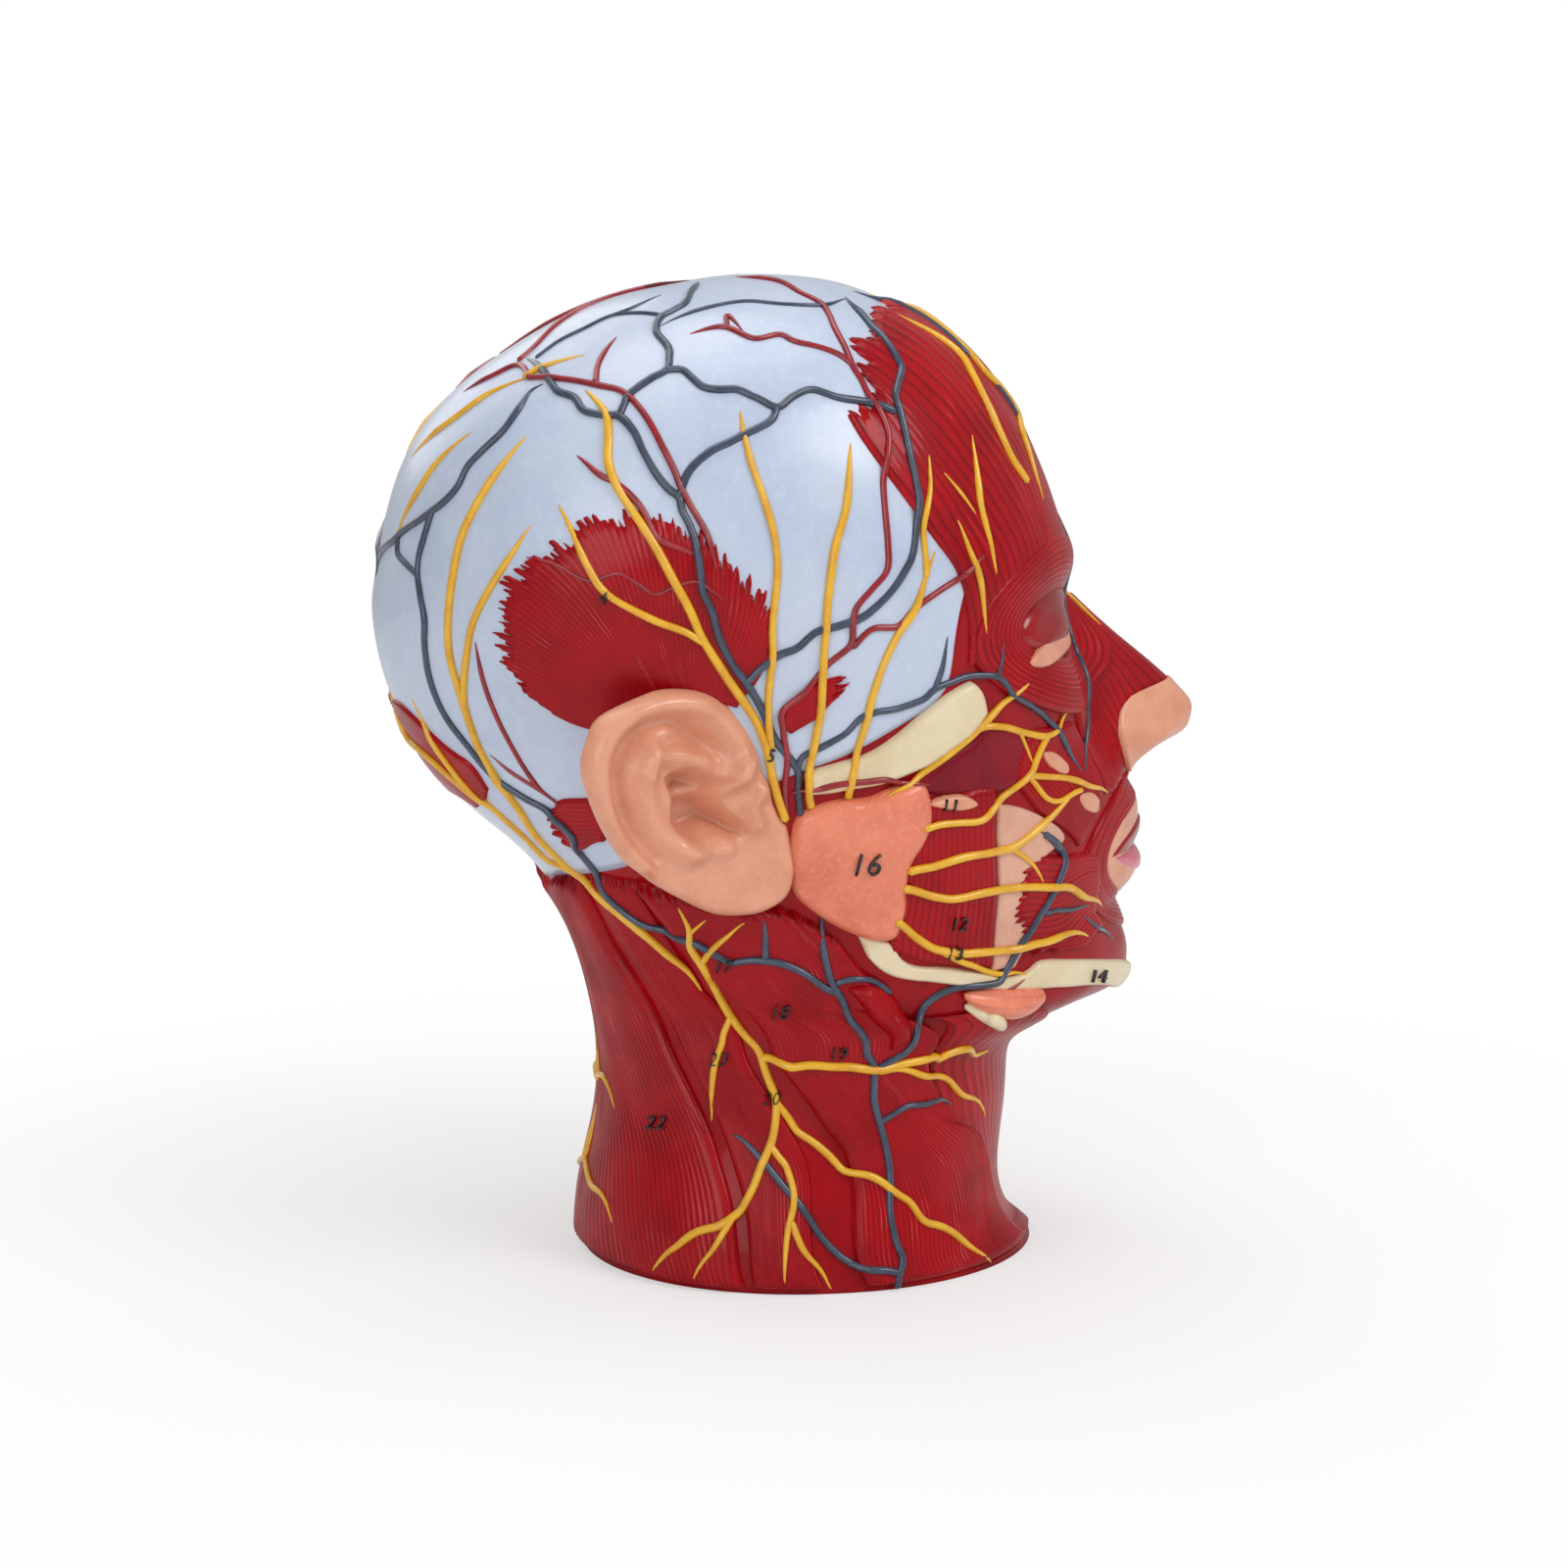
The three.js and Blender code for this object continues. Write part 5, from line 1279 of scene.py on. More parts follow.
# What the two small muscles beside the ear share
besideEar = {"thickness": 0.0013, "round": 0.0012, "ridge": 0.0002, "fringe": (0.0, 0.004), "spacing": 0.0008}
layRails("anteriorAuricular", {
    **besideEar, "node": "anterior_auricular", "fibres": 9, "rails": [
        [(795, 738), (806, 715), (832, 697), (862, 688)],
        [(800, 744), (820, 722), (842, 706), (868, 694)],
        [(806, 750), (832, 734), (850, 716), (868, 702)],
    ],
})
layRails("posteriorAuricular", {
    **besideEar, "node": "posterior_auricular", "fibres": 11, "rails": [
        [(618, 814), (592, 814), (562, 820)],
        [(620, 836), (592, 838), (558, 838)],
        [(620, 858), (596, 866), (568, 856)],
    ],
})
layRails("occipitalis", {
    "node": "occipitalis", "thickness": 0.001, "round": 0.001, "fibres": 16, "ridge": 0.00014,
    "fringe": (0.0, 0.005), "spacing": 0.0009, "rails": [
        [(500, 806), (482, 780), (446, 752), (402, 716)],
        [(497, 816), (470, 794), (436, 768), (402, 726)],
        [(490, 824), (462, 806), (432, 782), (408, 744)],
    ],
})
print("muscles, bones and glands made")

# The bar's picture points from its end to the middle, how far it stands off the throat, and its thickness
hyoidBar = {
    "line": [(984, 1026), (1003, 1036), (1017, 1043)], "middle": (1026, 1046), "lift": 0.0012,
    "middleLift": -0.0035, "radius": 0.0021, "tip": 0.45, "sides": 16, "bluntness": 4,
}


def tubeMesh(centres, normals, radii, sides):
    # a tube along a line of places, one end point closing each end
    ahead = np.gradient(centres, axis=0)
    ahead /= np.maximum(np.linalg.norm(ahead, axis=1, keepdims=True), 1e-12)
    side = np.cross(normals, ahead)
    side /= np.maximum(np.linalg.norm(side, axis=1, keepdims=True), 1e-12)
    up = np.cross(ahead, side)
    turn = np.linspace(0, 2 * math.pi, sides, endpoint=False)[None, :, None]
    spoke = np.cos(turn) * side[:, None] + np.sin(turn) * up[:, None]
    rings = centres[:, None] + radii[:, None, None] * spoke
    first, last = centres[:1] - ahead[:1] * radii[0], centres[-1:] + ahead[-1:] * radii[-1]
    count = len(centres) * sides
    here = np.arange(sides)
    beside, far = (here + 1) % sides, count - sides
    walls = gridFaces(len(centres), sides, closedColumns=True, underneath=True)
    caps = np.stack([0 * here + count, beside, here], -1).tolist()
    caps += np.stack([0 * here + count + 1, far + here, far + beside], -1).tolist()
    return np.vstack([rings.reshape(-1, 3), first, last]), walls.tolist() + caps


def buildHyoid():
    # a bent bar round the throat's front: a curve through lifted places, thinner towards its two ends
    ab = np.vstack([toDisk(hyoidBar["line"]), onMidline([hyoidBar["middle"]])])
    place, normal = headFrame(ab)
    normal = normal.mean(0) * [1, 1, 0] + 0 * normal
    normal[-1, 0] = 0
    lifts = np.append(np.full(len(hyoidBar["line"]), hyoidBar["lift"]), hyoidBar["middleLift"])
    place = place + normal * lifts[:, None]
    line = curveThrough(np.vstack([place, place[-2::-1] * [-1, 1, 1]]), 10)
    outwards = np.stack([line[:, 0], line[:, 1], 0 * line[:, 2]], -1)
    outwards /= np.linalg.norm(outwards, axis=1, keepdims=True)
    share = np.linspace(-1, 1, len(line))
    radii = hyoidBar["radius"] * (1 - (1 - hyoidBar["tip"]) * np.abs(share) ** hyoidBar["bluntness"])
    points, faces = tubeMesh(line, outwards, radii, hyoidBar["sides"])
    makeObject("hyoidBone", points, orient(points, faces), "bone", None, ["hyoid"])


buildHyoid()

# Each kind's radius, how far its middle stands out as a share of that, and its taper at a free end
cordKinds = {
    "vein": {"radius": 0.00105, "seat": 0.1, "taper": 0.010, "tip": 0.25},
    "artery": {"radius": 0.00088, "seat": 0.1, "taper": 0.008, "tip": 0.25},
    "nerve": {"radius": 0.00118, "seat": 0.15, "taper": 0.014, "tip": 0.2},
}
# What all kinds share: the tube's cells and slight waves, its ends, and the weights that smooth its way
cords = {
    "sides": 8, "spacing": 0.001, "wave": 0.045, "waveLength": 0.012, "seed": 100, "swell": 0.7,
    "tipSeat": 0.5, "clear": 0.0003, "settle": [0.06, 0.12, 0.2, 0.24, 0.2, 0.12, 0.06],
    "across": (-0.9, -0.6, -0.3, 0, 0.3, 0.6, 0.9),
}


def layCords(name, kind, routes, node=None):
    # tubes half sunk in what they cross: each line follows the height map, and thins out at free ends
    look = cordKinds[kind]
    laid = blurredMap(raster["cordBlur"])
    points, faces, start, splats = [], [], 0, []
    for number, route in enumerate(routes):
        # a few places are given in the front view instead, as left to right and height
        places = [fromFront(*np.array(route["front"]).T)] if "front" in route else []
        places += [toDisk(route["px"])] if "px" in route else []
        ab = evenLine(np.vstack(places), spacing=cords["spacing"])
        point, normal = headFrame(ab)
        length = runLength(point)
        free = route.get("free", "end")
        fromStart = length / look["taper"] if free in ("start", "both") else 1
        fromEnd = (length[-1] - length) / look["taper"] if free in ("end", "both") else 1
        full = np.clip(np.minimum(fromStart, fromEnd) + 0 * length, 0, 1)
        wave = 1 + cords["wave"] * ripple(point, cords["waveLength"], cords["seed"] + number)
        thinning = look["tip"] + (1 - look["tip"]) * full ** cords["swell"]
        radii = look["radius"] * route.get("size", 1) * wave * thinning
        settle = cords["settle"]
        base = np.convolve(np.pad(readMap(laid, ab), len(settle) // 2, "edge"), settle, "valid")
        # a free end goes down into what it lies on
        seat = look["seat"] * look["radius"] * full ** 0.5 - cords["tipSeat"] * radii * (1 - full)
        centres = point + normal * (base + seat)[:, None]
        centres[:, 2] = np.maximum(centres[:, 2], radii + cords["clear"])
        tube, walls = tubeMesh(centres, normal, radii, cords["sides"])
        points.append(tube)
        faces += [[corner + start for corner in face] for face in walls]
        start += len(tube)
        splats.append((ab, point, base + seat, radii))
    for ab, point, heights, radii in splats:
        # the tube's top as heights over the disk: a few lines across its breadth
        ahead = np.gradient(ab, axis=0)
        step = np.stack([-ahead[:, 1], ahead[:, 0]], -1)
        step /= np.maximum(np.linalg.norm(headPoint(ab + step) - point, axis=1), 1e-9)[:, None]
        for share in cords["across"]:
            splat(ab + step * (radii * share)[:, None], heights + radii * math.sqrt(1 - share ** 2))
    bothSides(name, np.concatenate(points), faces, kind, None, node)


layCords("scalpVeins", "vein", [
    {"px": [(712, 288), (701, 307), (688, 317), (674, 325), (670, 339), (682, 355), (683, 365), (680, 378),
        (664, 387), (642, 403), (637, 413), (632, 425)], "free": "start"},
    {"px": [(680, 378), (696, 378), (704, 384), (717, 395), (733, 398), (752, 398), (771, 406), (793, 416),
        (809, 405), (828, 398), (855, 406), (884, 411), (909, 422)], "free": "none"},
    {"px": [(793, 416), (787, 429), (765, 441), (745, 451), (726, 460), (707, 476), (699, 489), (693, 508)],
        "free": "none"},
    {"px": [(538, 366), (554, 378), (562, 390), (570, 400), (586, 406), (596, 419), (615, 424), (632, 425),
        (647, 441), (656, 460), (669, 483), (682, 499), (693, 508), (696, 521), (704, 537), (710, 556),
        (714, 582), (717, 604), (726, 623), (734, 652), (745, 674), (761, 696), (779, 727), (791, 755),
        (809, 778), (815, 793), (816, 829)], "free": "start"},
    {"px": [(761, 696), (777, 680), (796, 668), (814, 661), (833, 645), (855, 639), (878, 631), (893, 620),
        (909, 604), (922, 585), (932, 562), (935, 517), (931, 491), (926, 469), (922, 450), (915, 421),
        (911, 405), (917, 380), (913, 371), (894, 341), (872, 314), (862, 303)]},
    {"px": [(863, 305), (840, 312), (800, 311), (760, 308), (720, 315), (690, 325), (674, 333)],
        "size": 0.6, "free": "both"},
    {"px": [(674, 322), (650, 320), (624, 323), (596, 336), (570, 349), (548, 365)], "size": 0.6,
        "free": "none"},
    {"px": [(675, 301), (647, 314), (624, 323)], "size": 0.55, "free": "start"},
    {"px": [(870, 297), (930, 322), (985, 366), (1024, 412), (1045, 450)], "size": 0.8, "free": "both"},
], "scalp_veins")
layCords("jugularVein", "vein", [
    {"px": [(554, 392), (541, 400), (529, 419), (513, 441), (493, 460), (478, 476), (468, 496), (455, 511),
        (442, 521), (427, 532), (411, 543), (401, 553), (388, 569), (382, 588)], "free": "both"},
    {"px": [(442, 521), (434, 547), (428, 569), (427, 588), (430, 610), (434, 633), (434, 658), (438, 687),
        (446, 712), (458, 735), (478, 761), (493, 780), (509, 796), (538, 815), (564, 829), (586, 850),
        (592, 869), (605, 885), (618, 904), (637, 923), (659, 939), (685, 950), (710, 955), (729, 965),
        (749, 976), (777, 974), (796, 977), (819, 987), (841, 1003), (855, 1010), (868, 1039), (881, 1068),
        (888, 1090), (888, 1125), (895, 1153), (902, 1195), (902, 1231), (908, 1266), (915, 1287),
        (916, 1313)], "free": "none"},
    {"px": [(407, 547), (407, 566), (417, 578), (427, 588)], "free": "none", "size": 0.85},
    {"px": [(838, 934), (839, 962), (846, 994), (855, 1010)], "free": "start"},
    {"px": [(780, 934), (782, 950), (782, 972)], "free": "start"},
    {"px": [(852, 998), (871, 994), (890, 999), (906, 1010)], "size": 0.85, "free": "none"},
    {"px": [(895, 1142), (904, 1136), (918, 1127), (939, 1124), (967, 1127)], "size": 0.85},
    {"px": [(750, 1157), (774, 1178), (796, 1206), (817, 1231), (838, 1262), (859, 1283), (883, 1295),
        (912, 1300)], "free": "start"},
], "jugular_vein")
layCords("facialVein", "vein", [
    {"front": [(-0.0170, 0.2020), (-0.0150, 0.1930), (-0.0130, 0.1850), (-0.0120, 0.1770),
        (-0.0130, 0.1690)], "px": [(1092, 668), (1103, 695), (1105, 732), (1104, 787)], "size": 0.8,
        "free": "both"},
    {"px": [(814, 781), (820, 771), (839, 762), (862, 749), (878, 733), (893, 727), (916, 723), (941, 714),
        (954, 703), (973, 695), (988, 690), (1015, 691), (1033, 710), (1062, 728), (1077, 747),
        (1099, 787)], "size": 0.85},
    {"px": [(954, 703), (962, 679), (967, 650)], "size": 0.8},
    {"px": [(1014, 690), (1018, 672), (1019, 656)], "size": 0.6},
    {"px": [(1064, 851), (1083, 870), (1078, 892), (1066, 918), (1056, 934), (1047, 950), (1034, 972),
        (1024, 991), (1015, 1001), (996, 1004), (970, 1009), (954, 1017), (941, 1029), (932, 1045),
        (922, 1065), (909, 1074), (889, 1088)], "free": "none"},
    {"px": [(1060, 848), (1070, 857), (1079, 866)], "free": "start"},
    {"px": [(1063, 931), (1088, 927), (1107, 924)], "size": 0.7},
    {"px": [(1101, 934), (1117, 947), (1136, 959)], "size": 0.7, "free": "both"},
], "facial_vein")
layCords("temporalArtery", "artery", [
    {"px": [(541, 386), (573, 387), (608, 393), (631, 398), (643, 406), (659, 425), (675, 454), (688, 480),
        (694, 496), (704, 515), (720, 543), (728, 569), (731, 582)]},
    {"px": [(750, 283), (791, 287), (814, 298), (838, 311), (852, 336), (862, 355), (870, 374), (878, 387),
        (887, 406), (903, 441), (903, 467), (901, 492), (903, 521), (906, 556), (905, 582), (890, 601),
        (874, 620), (870, 636), (868, 658), (846, 677), (823, 703), (798, 725), (799, 746), (803, 778),
        (801, 809), (803, 835)], "free": "start"},
    {"px": [(870, 373), (855, 362), (833, 354), (811, 349), (795, 342), (769, 346), (742, 335), (726, 335),
        (704, 341)]},
    {"px": [(871, 660), (890, 642), (916, 639), (935, 620), (957, 604), (980, 588), (1002, 566)]},
], "temporal_artery")
layCords("scalpArteries", "artery", [
    {"px": [(608, 392), (610, 374), (618, 358), (629, 344)]},
    {"px": [(541, 386), (529, 373), (503, 384), (473, 400)]},
    {"px": [(530, 368), (545, 355), (567, 333), (592, 317), (621, 303), (653, 295), (701, 285)]},
    {"px": [(589, 465), (611, 484), (627, 492), (643, 505), (656, 521), (669, 547), (682, 556), (707, 566)],
        "free": "both"},
    {"px": [(742, 335), (742, 322), (758, 338)], "size": 0.8},
    {"px": [(807, 809), (830, 803), (849, 798), (878, 795), (903, 793), (919, 798), (948, 800)],
        "free": "both"},
    {"px": [(485, 655), (495, 700), (506, 729), (522, 761), (541, 792), (554, 808), (573, 821)],
        "free": "both", "size": 0.8},
    {"px": [(500, 770), (522, 788), (554, 808)], "size": 0.7, "free": "start"},
    {"px": [(1018, 1010), (1031, 1006), (1042, 998)], "free": "both"},
    {"px": [(537, 569), (568, 576), (600, 592), (631, 585), (647, 593), (668, 606), (689, 598), (710, 593),
        (725, 602), (738, 612)], "free": "both", "size": 0.55},
    {"px": [(673, 547), (689, 556), (710, 565)], "free": "both", "size": 0.55},
])
layCords("auriculotemporalNerve", "nerve", [
    {"px": [(597, 398), (618, 422), (621, 448), (621, 473), (631, 499), (647, 524), (666, 553), (685, 588),
        (704, 623), (717, 652), (739, 687), (765, 725), (782, 762), (788, 793), (801, 835)],
        "free": "start"},
    {"px": [(570, 515), (586, 547), (599, 575), (615, 601), (637, 617), (669, 633), (701, 645), (717, 655)],
        "free": "start", "size": 0.85},
    {"px": [(755, 419), (765, 467), (780, 511), (790, 547), (793, 588), (788, 633), (787, 680), (787, 762)],
        "free": "start", "size": 0.85},
], "auriculotemporal_nerve")
layCords("temporalBranch", "nerve", [
    {"px": [(868, 453), (866, 492), (862, 524), (852, 559), (846, 601), (842, 649), (838, 696), (833, 750),
        (827, 822)], "free": "start"},
    {"px": [(954, 563), (945, 588), (935, 617), (919, 642), (903, 674), (890, 711), (878, 755), (865, 812)],
        "free": "start", "size": 0.9},
    {"px": [(945, 466), (946, 499), (941, 537), (945, 588)], "free": "start", "size": 0.75},
], "temporal_branch")
layCords("foreheadNerves", "nerve", [
    {"px": [(911, 324), (933, 335), (954, 348), (976, 366), (992, 394), (1010, 432), (1027, 469),
        (1042, 492)], "free": "start"},
    {"px": [(887, 301), (904, 307), (933, 321), (965, 344), (997, 380), (1019, 403), (1031, 421),
        (1038, 444), (1050, 480), (1060, 512)], "free": "both", "size": 0.85},
    {"px": [(988, 446), (992, 476), (997, 519), (1008, 560), (1013, 585)], "free": "both", "size": 0.8},
    {"px": [(960, 484), (976, 503), (992, 525)], "free": "both", "size": 0.7},
    {"px": [(974, 532), (986, 562), (996, 591), (1000, 620), (1002, 645)], "free": "both", "size": 0.8},
    {"front": [(-0.0050, 0.1880), (-0.0044, 0.1820), (-0.0040, 0.1760), (-0.0036, 0.1700)], "free": "both",
        "size": 0.7},
], "supraorbital_nerve")
layCords("zygomaticBranch", "nerve", [
    {"px": [(903, 809), (929, 797), (954, 778), (980, 758), (1005, 736), (1027, 714), (1045, 698)],
        "free": "both"},
    {"px": [(983, 755), (1002, 742), (1021, 741), (1043, 747), (1063, 750), (1078, 742), (1086, 725)],
        "size": 0.85},
    {"px": [(1039, 746), (1045, 765), (1050, 778)], "size": 0.7},
    {"px": [(1064, 750), (1053, 774), (1047, 790), (1031, 806), (1011, 822), (996, 835), (973, 837),
        (940, 842)], "size": 0.85, "free": "none"},
    {"px": [(1047, 792), (1069, 793), (1094, 797), (1110, 803), (1128, 809)], "size": 0.8},
    {"px": [(1047, 794), (1063, 813), (1078, 816), (1098, 806)], "size": 0.65, "free": "none"},
], "zygomatic_branch")
layCords("buccalBranch", "nerve", [
    {"px": [(1091, 806), (1072, 829), (1053, 848), (1031, 864), (1005, 868), (973, 873), (948, 881),
        (925, 886)], "free": "start"},
    {"px": [(1028, 865), (1039, 871), (1050, 880), (1061, 899)], "size": 0.75},
    {"px": [(920, 903), (948, 911), (973, 913), (1005, 907), (1031, 905), (1063, 904), (1088, 905),
        (1104, 915), (1120, 923)]},
    {"px": [(912, 936), (935, 956), (957, 967), (986, 970), (1024, 969), (1053, 962), (1075, 956),
        (1106, 955)]},
    {"px": [(954, 966), (970, 975), (986, 982), (1015, 993), (1047, 994)], "size": 0.8},
], "buccal_branch")
layCords("occipitalNerve", "nerve", [
    {"px": [(537, 446), (509, 480), (487, 515), (471, 550), (462, 594), (458, 633), (460, 671), (470, 706),
        (478, 732), (490, 764), (509, 796), (532, 828), (554, 859), (580, 885), (608, 904), (627, 920),
        (653, 942), (682, 968), (701, 987), (717, 1009)], "free": "both"},
    {"px": [(541, 537), (522, 566), (500, 601), (484, 633), (476, 674), (475, 722)], "free": "start",
        "size": 0.85},
    {"px": [(395, 700), (407, 726), (423, 754), (452, 780), (493, 815), (529, 847), (557, 875), (580, 887)],
        "free": "start", "size": 0.85},
    {"px": [(420, 713), (433, 738), (455, 770), (490, 812)], "free": "start", "size": 0.8},
    {"px": [(481, 441), (446, 473), (427, 502), (411, 531), (406, 550)], "free": "both", "size": 0.8},
    {"px": [(537, 386), (503, 400), (462, 429), (420, 467)], "free": "both", "size": 0.8},
    {"px": [(597, 362), (557, 374), (537, 386)], "free": "start", "size": 0.8},
    {"px": [(605, 1060), (608, 1085), (614, 1110), (635, 1130)], "free": "both", "size": 0.8},
    {"px": [(603, 1150), (606, 1180), (613, 1210), (632, 1247)], "free": "both", "size": 0.8},
], "occipital_nerve")
layCords("cervicalPlexus", "nerve", [
    {"px": [(696, 920), (707, 942), (710, 961), (723, 984), (729, 1006), (745, 1035), (761, 1057),
        (777, 1079), (787, 1108), (792, 1125), (789, 1160), (778, 1189), (767, 1217), (753, 1238),
        (732, 1252), (701, 1266), (683, 1280), (672, 1294)], "free": "both"},
    {"px": [(761, 936), (742, 952), (720, 979)], "free": "start", "size": 0.8},
    {"px": [(723, 933), (716, 939), (708, 947)], "free": "start", "size": 0.8},
    {"px": [(746, 1036), (741, 1052), (737, 1070), (729, 1111), (726, 1143)], "size": 0.8},
    {"px": [(777, 1079), (800, 1084), (817, 1085), (852, 1085), (887, 1087), (922, 1078), (953, 1076),
        (964, 1072), (990, 1073), (1005, 1070)]},
    {"px": [(882, 1087), (901, 1087), (936, 1094), (964, 1101), (981, 1118), (1001, 1138)], "size": 0.8},
    {"px": [(750, 1240), (742, 1255), (729, 1276), (712, 1302)], "size": 0.8},
    {"px": [(786, 1168), (795, 1180), (803, 1192), (810, 1224), (804, 1255), (801, 1287), (801, 1307)],
        "size": 0.85},
    {"px": [(808, 1248), (820, 1276), (838, 1297), (848, 1315)], "size": 0.8},
    {"px": [(792, 1125), (804, 1140), (817, 1157), (845, 1178), (866, 1196), (901, 1211), (922, 1227),
        (939, 1248), (971, 1266), (992, 1283), (1010, 1297)], "size": 0.9},
], "cervical_plexus")
print("nerves and vessels laid")

# The ear, drawn in picture points on a plane that stands off the head's side and flares backwards
ear = {
    "centre": (702, 822), "standOff": 0.0098, "flare": math.radians(20), "wall": 0.0036, "roll": 0.0024,
    "cells": 128, "bowl": 0.0085, "bowlEdge": 20, "face": 0.88, "rollTurn": math.pi * 0.9, "rimLift": 0.0016,
    "rimPower": 4, "foldFall": 1.6, "rootCentre": (745, 820), "rootSize": (46, 62), "rootDepth": 0.016,
    "rootFull": 1.25, "rootFall": 0.9, "backEdge": 0.9, "rimWall": 0.0002,
}
earPx = [
    (593, 786), (600, 751), (614, 730), (651, 711), (679, 703), (718, 705), (741, 712), (754, 722),
    (764, 743), (775, 767), (783, 802), (796, 833), (804, 846), (809, 881), (802, 913), (781, 929),
    (757, 934), (727, 932), (692, 916), (660, 897), (630, 873), (606, 833),
]
conchaPx = [
    (676, 792), (682, 818), (680, 841), (692, 857), (708, 864), (727, 855), (749, 858), (764, 850),
    (752, 832), (736, 812), (744, 792), (722, 786), (700, 780),
]
# Ridges and grooves: line, half width in picture points, and height
earFolds = {
    "helix": ([(752, 790), (750, 765), (738, 742), (714, 722), (686, 718), (655, 724), (628, 740), (612, 764),
               (610, 792), (616, 826), (632, 856), (654, 880)], 17, 0.0036),
    "helixFoot": ([(756, 778), (742, 796), (722, 806), (702, 810)], 13, 0.0034),
    "groove": ([(725, 766), (714, 755), (692, 739), (663, 738), (643, 751), (632, 770), (627, 789),
                (628, 811), (634, 838), (646, 859), (662, 876)], 11, -0.0026),
    "antihelix": ([(700, 868), (672, 850), (658, 822), (655, 795), (664, 772), (690, 770), (714, 774)], 19,
                  0.0036),
    "antihelixUpper": ([(656, 790), (662, 764), (678, 748)], 13, 0.002),
    "fossa": ([(674, 756), (692, 754), (712, 762)], 11, -0.0024),
    "tragus": ([(770, 806), (763, 822), (768, 840)], 15, 0.0034),
    "antitragus": ([(700, 872), (718, 866), (740, 866)], 13, 0.0026),
    "lobule": ([(720, 900), (755, 905), (785, 895)], 34, 0.0016),
}


def insideOutline(points, line):
    # even-odd count of the outline's sides that a ray from each point crosses
    start, end = line, np.roll(line, -1, 0)
    x, y = points[..., 0, None], points[..., 1, None]
    spans = (start[:, 1] > y) != (end[:, 1] > y)
    rise = np.where(end[:, 1] == start[:, 1], 1, end[:, 1] - start[:, 1])
    crossing = start[:, 0] + (y - start[:, 1]) * (end[:, 0] - start[:, 0]) / rise
    return (spans & (x < crossing)).sum(-1) % 2 == 1


def buildEar():
    # a plate that bulges by its folds and sinks in its bowl, and a back that reaches the head at a root.
    # The outer part of the grid rolls round the rim, and the rest fills the outline inside that roll
    centre, face = np.array(ear["centre"], float), ear["face"]
    _, share, ray, rim = outlineGrid(curveThrough(earPx, 8, closed=True), centre, ear["cells"] + 1)
    rollPx = ear["roll"] / pixel
    inner = np.minimum(share / face, 1)
    roll = np.clip((share - face) / (1 - face), 0, 1) * ear["rollTurn"]
    px = centre + ray * (inner * (rim - rollPx) + rollPx * np.sin(roll))[..., None]
    concha = curveThrough(conchaPx, 6, closed=True)
    depth = np.clip(edgeDistance(px, concha) / ear["bowlEdge"], 0, 1)
    height = -ear["bowl"] * smoothStep(np.where(insideOutline(px, concha), depth, 0))
    for line, width, tall in earFolds.values():
        fold = lineDistance(px, curveThrough(line, 8))
        height = height + tall * np.exp(-(fold / width) ** 2 * ear["foldFall"])
    height = height + ear["rimLift"] * inner ** ear["rimPower"] - ear["roll"] * (1 - np.cos(roll))
    normal = np.array([-math.cos(ear["flare"]), -math.sin(ear["flare"]), 0])
    seat = headPoint(toDisk([ear["centre"]]))[0] + np.array([-ear["standOff"], 0, 0])
    top = onPlane(px, seat, normal) + normal * height[..., None]

    backPx = centre + ray[coarse] * (share[coarse] * (rim[coarse] - rollPx))[..., None]
    rootOff = np.linalg.norm((backPx - ear["rootCentre"]) / ear["rootSize"], axis=-1)
    root = smoothStep(np.clip(ear["rootFull"] - rootOff * ear["rootFall"], 0, 1))
    back = -ear["wall"] - ear["rootDepth"] * root
    rimShare = np.clip((share[coarse] - ear["backEdge"]) / (1 - ear["backEdge"]), 0, 1)
    back = back * (1 - rimShare) + np.minimum(height[coarse] - ear["rimWall"], back) * rimShare
    bottom = onPlane(backPx, seat, normal) + normal * back[..., None]
    points = stacked(top, bottom)
    bothSides("ear", points, orient(points, sheetFaces(*px.shape[:2], False)), "flesh", None, "ear")


buildEar()
print("ears made")

# Plain numbers in thin black ink, each at a picture point with its height there
numbers = {
    "16": (877, 877, 24), "4": (615, 610, 15), "5": (785, 770, 13), "22": (675, 1145, 15),
    "23": (735, 1080, 14), "17": (740, 980, 14), "18": (795, 1028, 15), "19": (852, 1072, 14),
    "20": (787, 1120, 13), "12": (972, 940, 14), "13": (967, 970, 13), "14": (1113, 995, 13),
    "11": (963, 820, 13),
}
# The digits' shape in shares of their height, then their height over what lies there and their thickness
digits = {
    "size": 1.35, "extrude": 0.5, "resolution_u": 3, "offset": -0.022, "shear": 0.25,
    "align_x": "CENTER", "align_y": "CENTER",
}
ink = {"stand": 0.0004, "thickness": 0.0012}


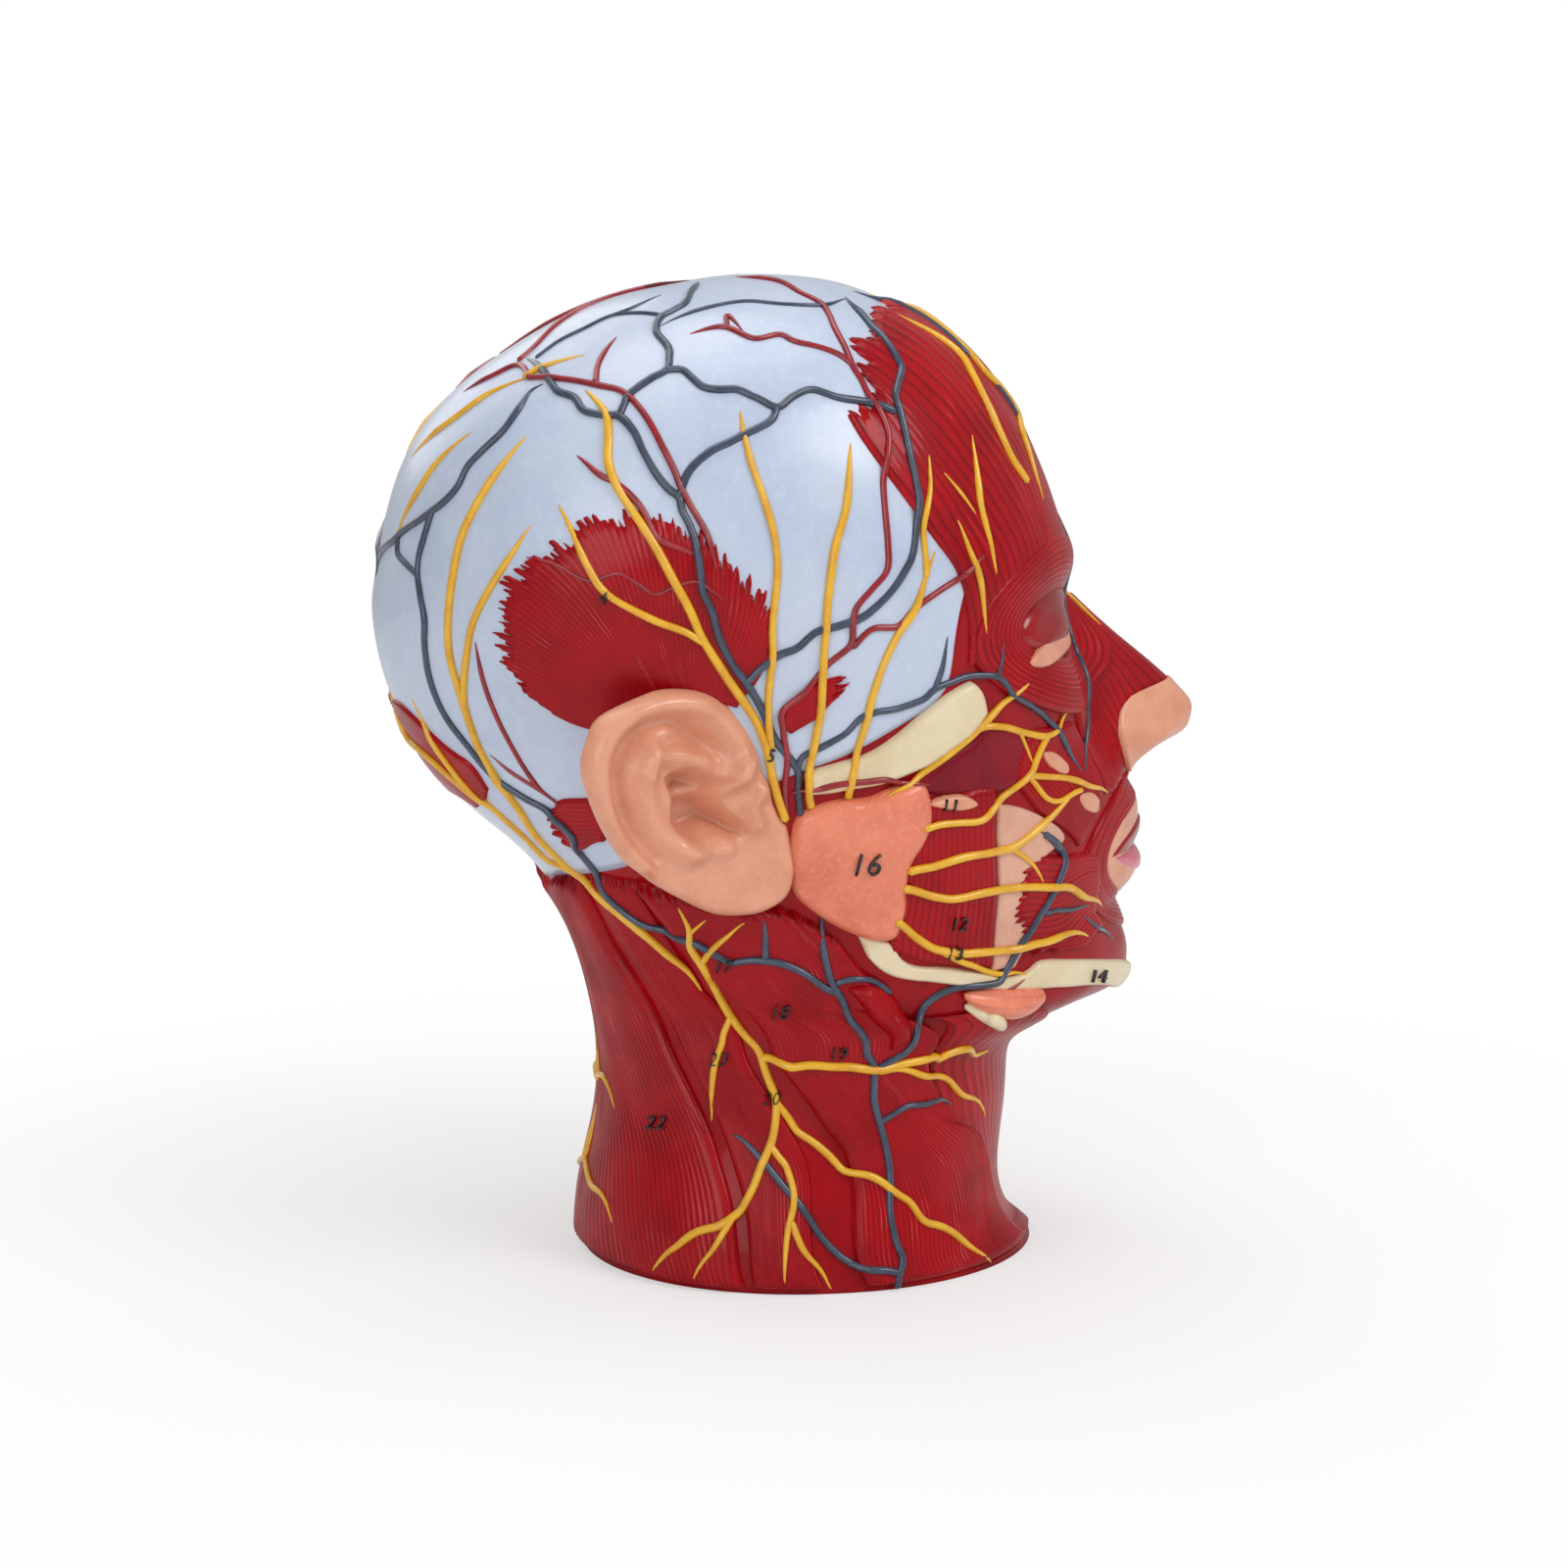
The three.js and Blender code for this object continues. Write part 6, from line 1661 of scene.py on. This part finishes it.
def writeNumber(text, mark):
    # the outline of plain digits, a hair thick, bent onto what lies at its place
    x, y, tall = mark
    curve = bpy.data.curves.new(f"digits{text}", "FONT")
    curve.body = text
    for key, value in digits.items():
        setattr(curve, key, value)
    drawn = newObject(f"drawn{text}", curve)
    bpy.context.view_layer.update()
    mesh = bpy.data.meshes.new_from_object(drawn.evaluated_get(bpy.context.evaluated_depsgraph_get()))
    bpy.data.objects.remove(drawn)
    flat = np.zeros(len(mesh.vertices) * 3)
    mesh.vertices.foreach_get("co", flat)
    flat, same = np.unique(np.round(flat.reshape(-1, 3), 5), axis=0, return_inverse=True)
    same = same.reshape(-1).tolist()
    faces = [[same[corner] for corner in face.vertices] for face in mesh.polygons]
    faces = [face for face in faces if len(set(face)) == len(face)]
    laid = blurredMap(raster["inkBlur"])
    for side, ending in ((1, "Right"), (-1, "Left")):
        # mirrored in the picture for the left side, so that it reads the right way round there too
        ab = toDisk(np.stack([x + side * flat[:, 0] * tall, y - flat[:, 1] * tall], -1))
        point, normal = headFrame(ab)
        height = readMap(laid, ab) + ink["stand"] + flat[:, 2] * ink["thickness"]
        points = (point + normal * height[:, None]) * [side, 1, 1]
        makeObject(f"number{text}{ending}", points, orient(points, faces), "ink")


for text, mark in numbers.items():
    writeNumber(text, mark)
print("numbers written")

# A pale floor and backdrop, soft lamps, and the photograph's camera
light = {
    "world": 0.42, "shadowNear": 0.12, "shadowFar": 0.36, "paleFloor": 0.5, "floorSize": 6.0,
    "aim": (0, 0, 0.13), "floorTones": ((0.86, 0.86, 0.86, 1), (0.9, 0.9, 0.9, 1)),
}
# Each lamp's place, breadth and power
lamps = {
    "keyLamp": ((-0.75, -0.75, 0.95), 0.7, 7.6), "fillLamp": ((-1.1, 0.7, 0.5), 0.9, 5.0),
    "topLamp": ((0.1, 0.1, 1.2), 0.9, 4.5), "rimLamp": ((0.9, 0.4, 0.7), 0.8, 2),
}


def buildFloor():
    # pale all over, and plain white to the camera from a distance on, so that only the shadow shows
    size = light["floorSize"]
    mesh = bpy.data.meshes.new("floor")
    corners = [(-size, -size, 0), (size, -size, 0), (size, size, 0), (-size, size, 0)]
    mesh.from_pydata(corners, [], [(0, 1, 2, 3)])
    floor = newObject("floor", mesh)
    material = bpy.data.materials.new("floorWhite")
    sheet = NodeSheet(material)
    place = sheet.add("ShaderNodeTexCoord").outputs["Object"]
    colour = sheet.mix(sheet.step(sheet.noise(place, 3.0, 2.0), 0.3, 0.8), *light["floorTones"])
    diffuse = sheet.add("ShaderNodeBsdfDiffuse", {"Color": colour})
    white = sheet.add("ShaderNodeEmission", {"Color": (1, 1, 1, 1), "Strength": 1.0})
    reach = sheet.add("ShaderNodeVectorMath", {0: place}, operation="LENGTH").outputs["Value"]
    rays = sheet.add("ShaderNodeLightPath")
    far = sheet.step(reach, light["shadowNear"], light["shadowFar"])
    far = sheet.math("MULTIPLY_ADD", far, 1 - light["paleFloor"], light["paleFloor"])
    far = sheet.math("MULTIPLY", far, rays.outputs["Is Camera Ray"])
    seen = sheet.add("ShaderNodeMixShader", {0: far, 1: diffuse.outputs[0], 2: white.outputs[0]})
    sheet.add("ShaderNodeOutputMaterial", {"Surface": seen.outputs[0]})
    mesh.materials.append(material)


def buildWorld():
    # soft light all round, and a white background to the camera
    world = bpy.data.worlds.new("studio")
    sheet = NodeSheet(world)
    soft, white = (
        sheet.add("ShaderNodeBackground", {"Color": (1, 1, 1, 1), "Strength": strength}).outputs[0]
        for strength in (light["world"], 1.0)
    )
    rays = sheet.add("ShaderNodeLightPath").outputs["Is Camera Ray"]
    seen = sheet.add("ShaderNodeMixShader", {0: rays, 1: soft, 2: white})
    sheet.add("ShaderNodeOutputWorld", {"Surface": seen.outputs[0]})
    bpy.context.scene.world = world


def lookAt(thing, place, target):
    # the object's own -Z turned to the target, its Y as near upright as that allows
    back = np.array(place, float) - np.array(target, float)
    back /= np.linalg.norm(back)
    right = np.cross([0, 0, 1], back)
    right = right / np.linalg.norm(right)
    up = np.cross(back, right)
    matrix = [[right[k], up[k], back[k], place[k]] for k in range(3)] + [[0, 0, 0, 1]]
    thing.matrix_world = Matrix([[float(value) for value in row] for row in matrix])


def addLamp(name, place, size, power):
    # a round soft lamp that looks at the head
    lamp = bpy.data.lights.new(name, "AREA")
    lamp.shape, lamp.size, lamp.energy = "DISK", size, power
    lookAt(newObject(name, lamp), place, light["aim"])


buildFloor()
buildWorld()
for name, (place, size, power) in lamps.items():
    addLamp(name, place, size, power)

camera = bpy.data.cameras.new("camera")
camera.sensor_width = photo["sensor"]
camera.lens = photo["sensor"] * photo["distance"] / (photo["size"] * acrossScale)
camera.clip_start, camera.clip_end = photo["near"], photo["far"]
stand = newObject("camera", camera)
lookAt(stand, eye.tolist(), aim.tolist())
bpy.context.scene.camera = stand
bpy.context.scene.view_settings.view_transform = "Standard"
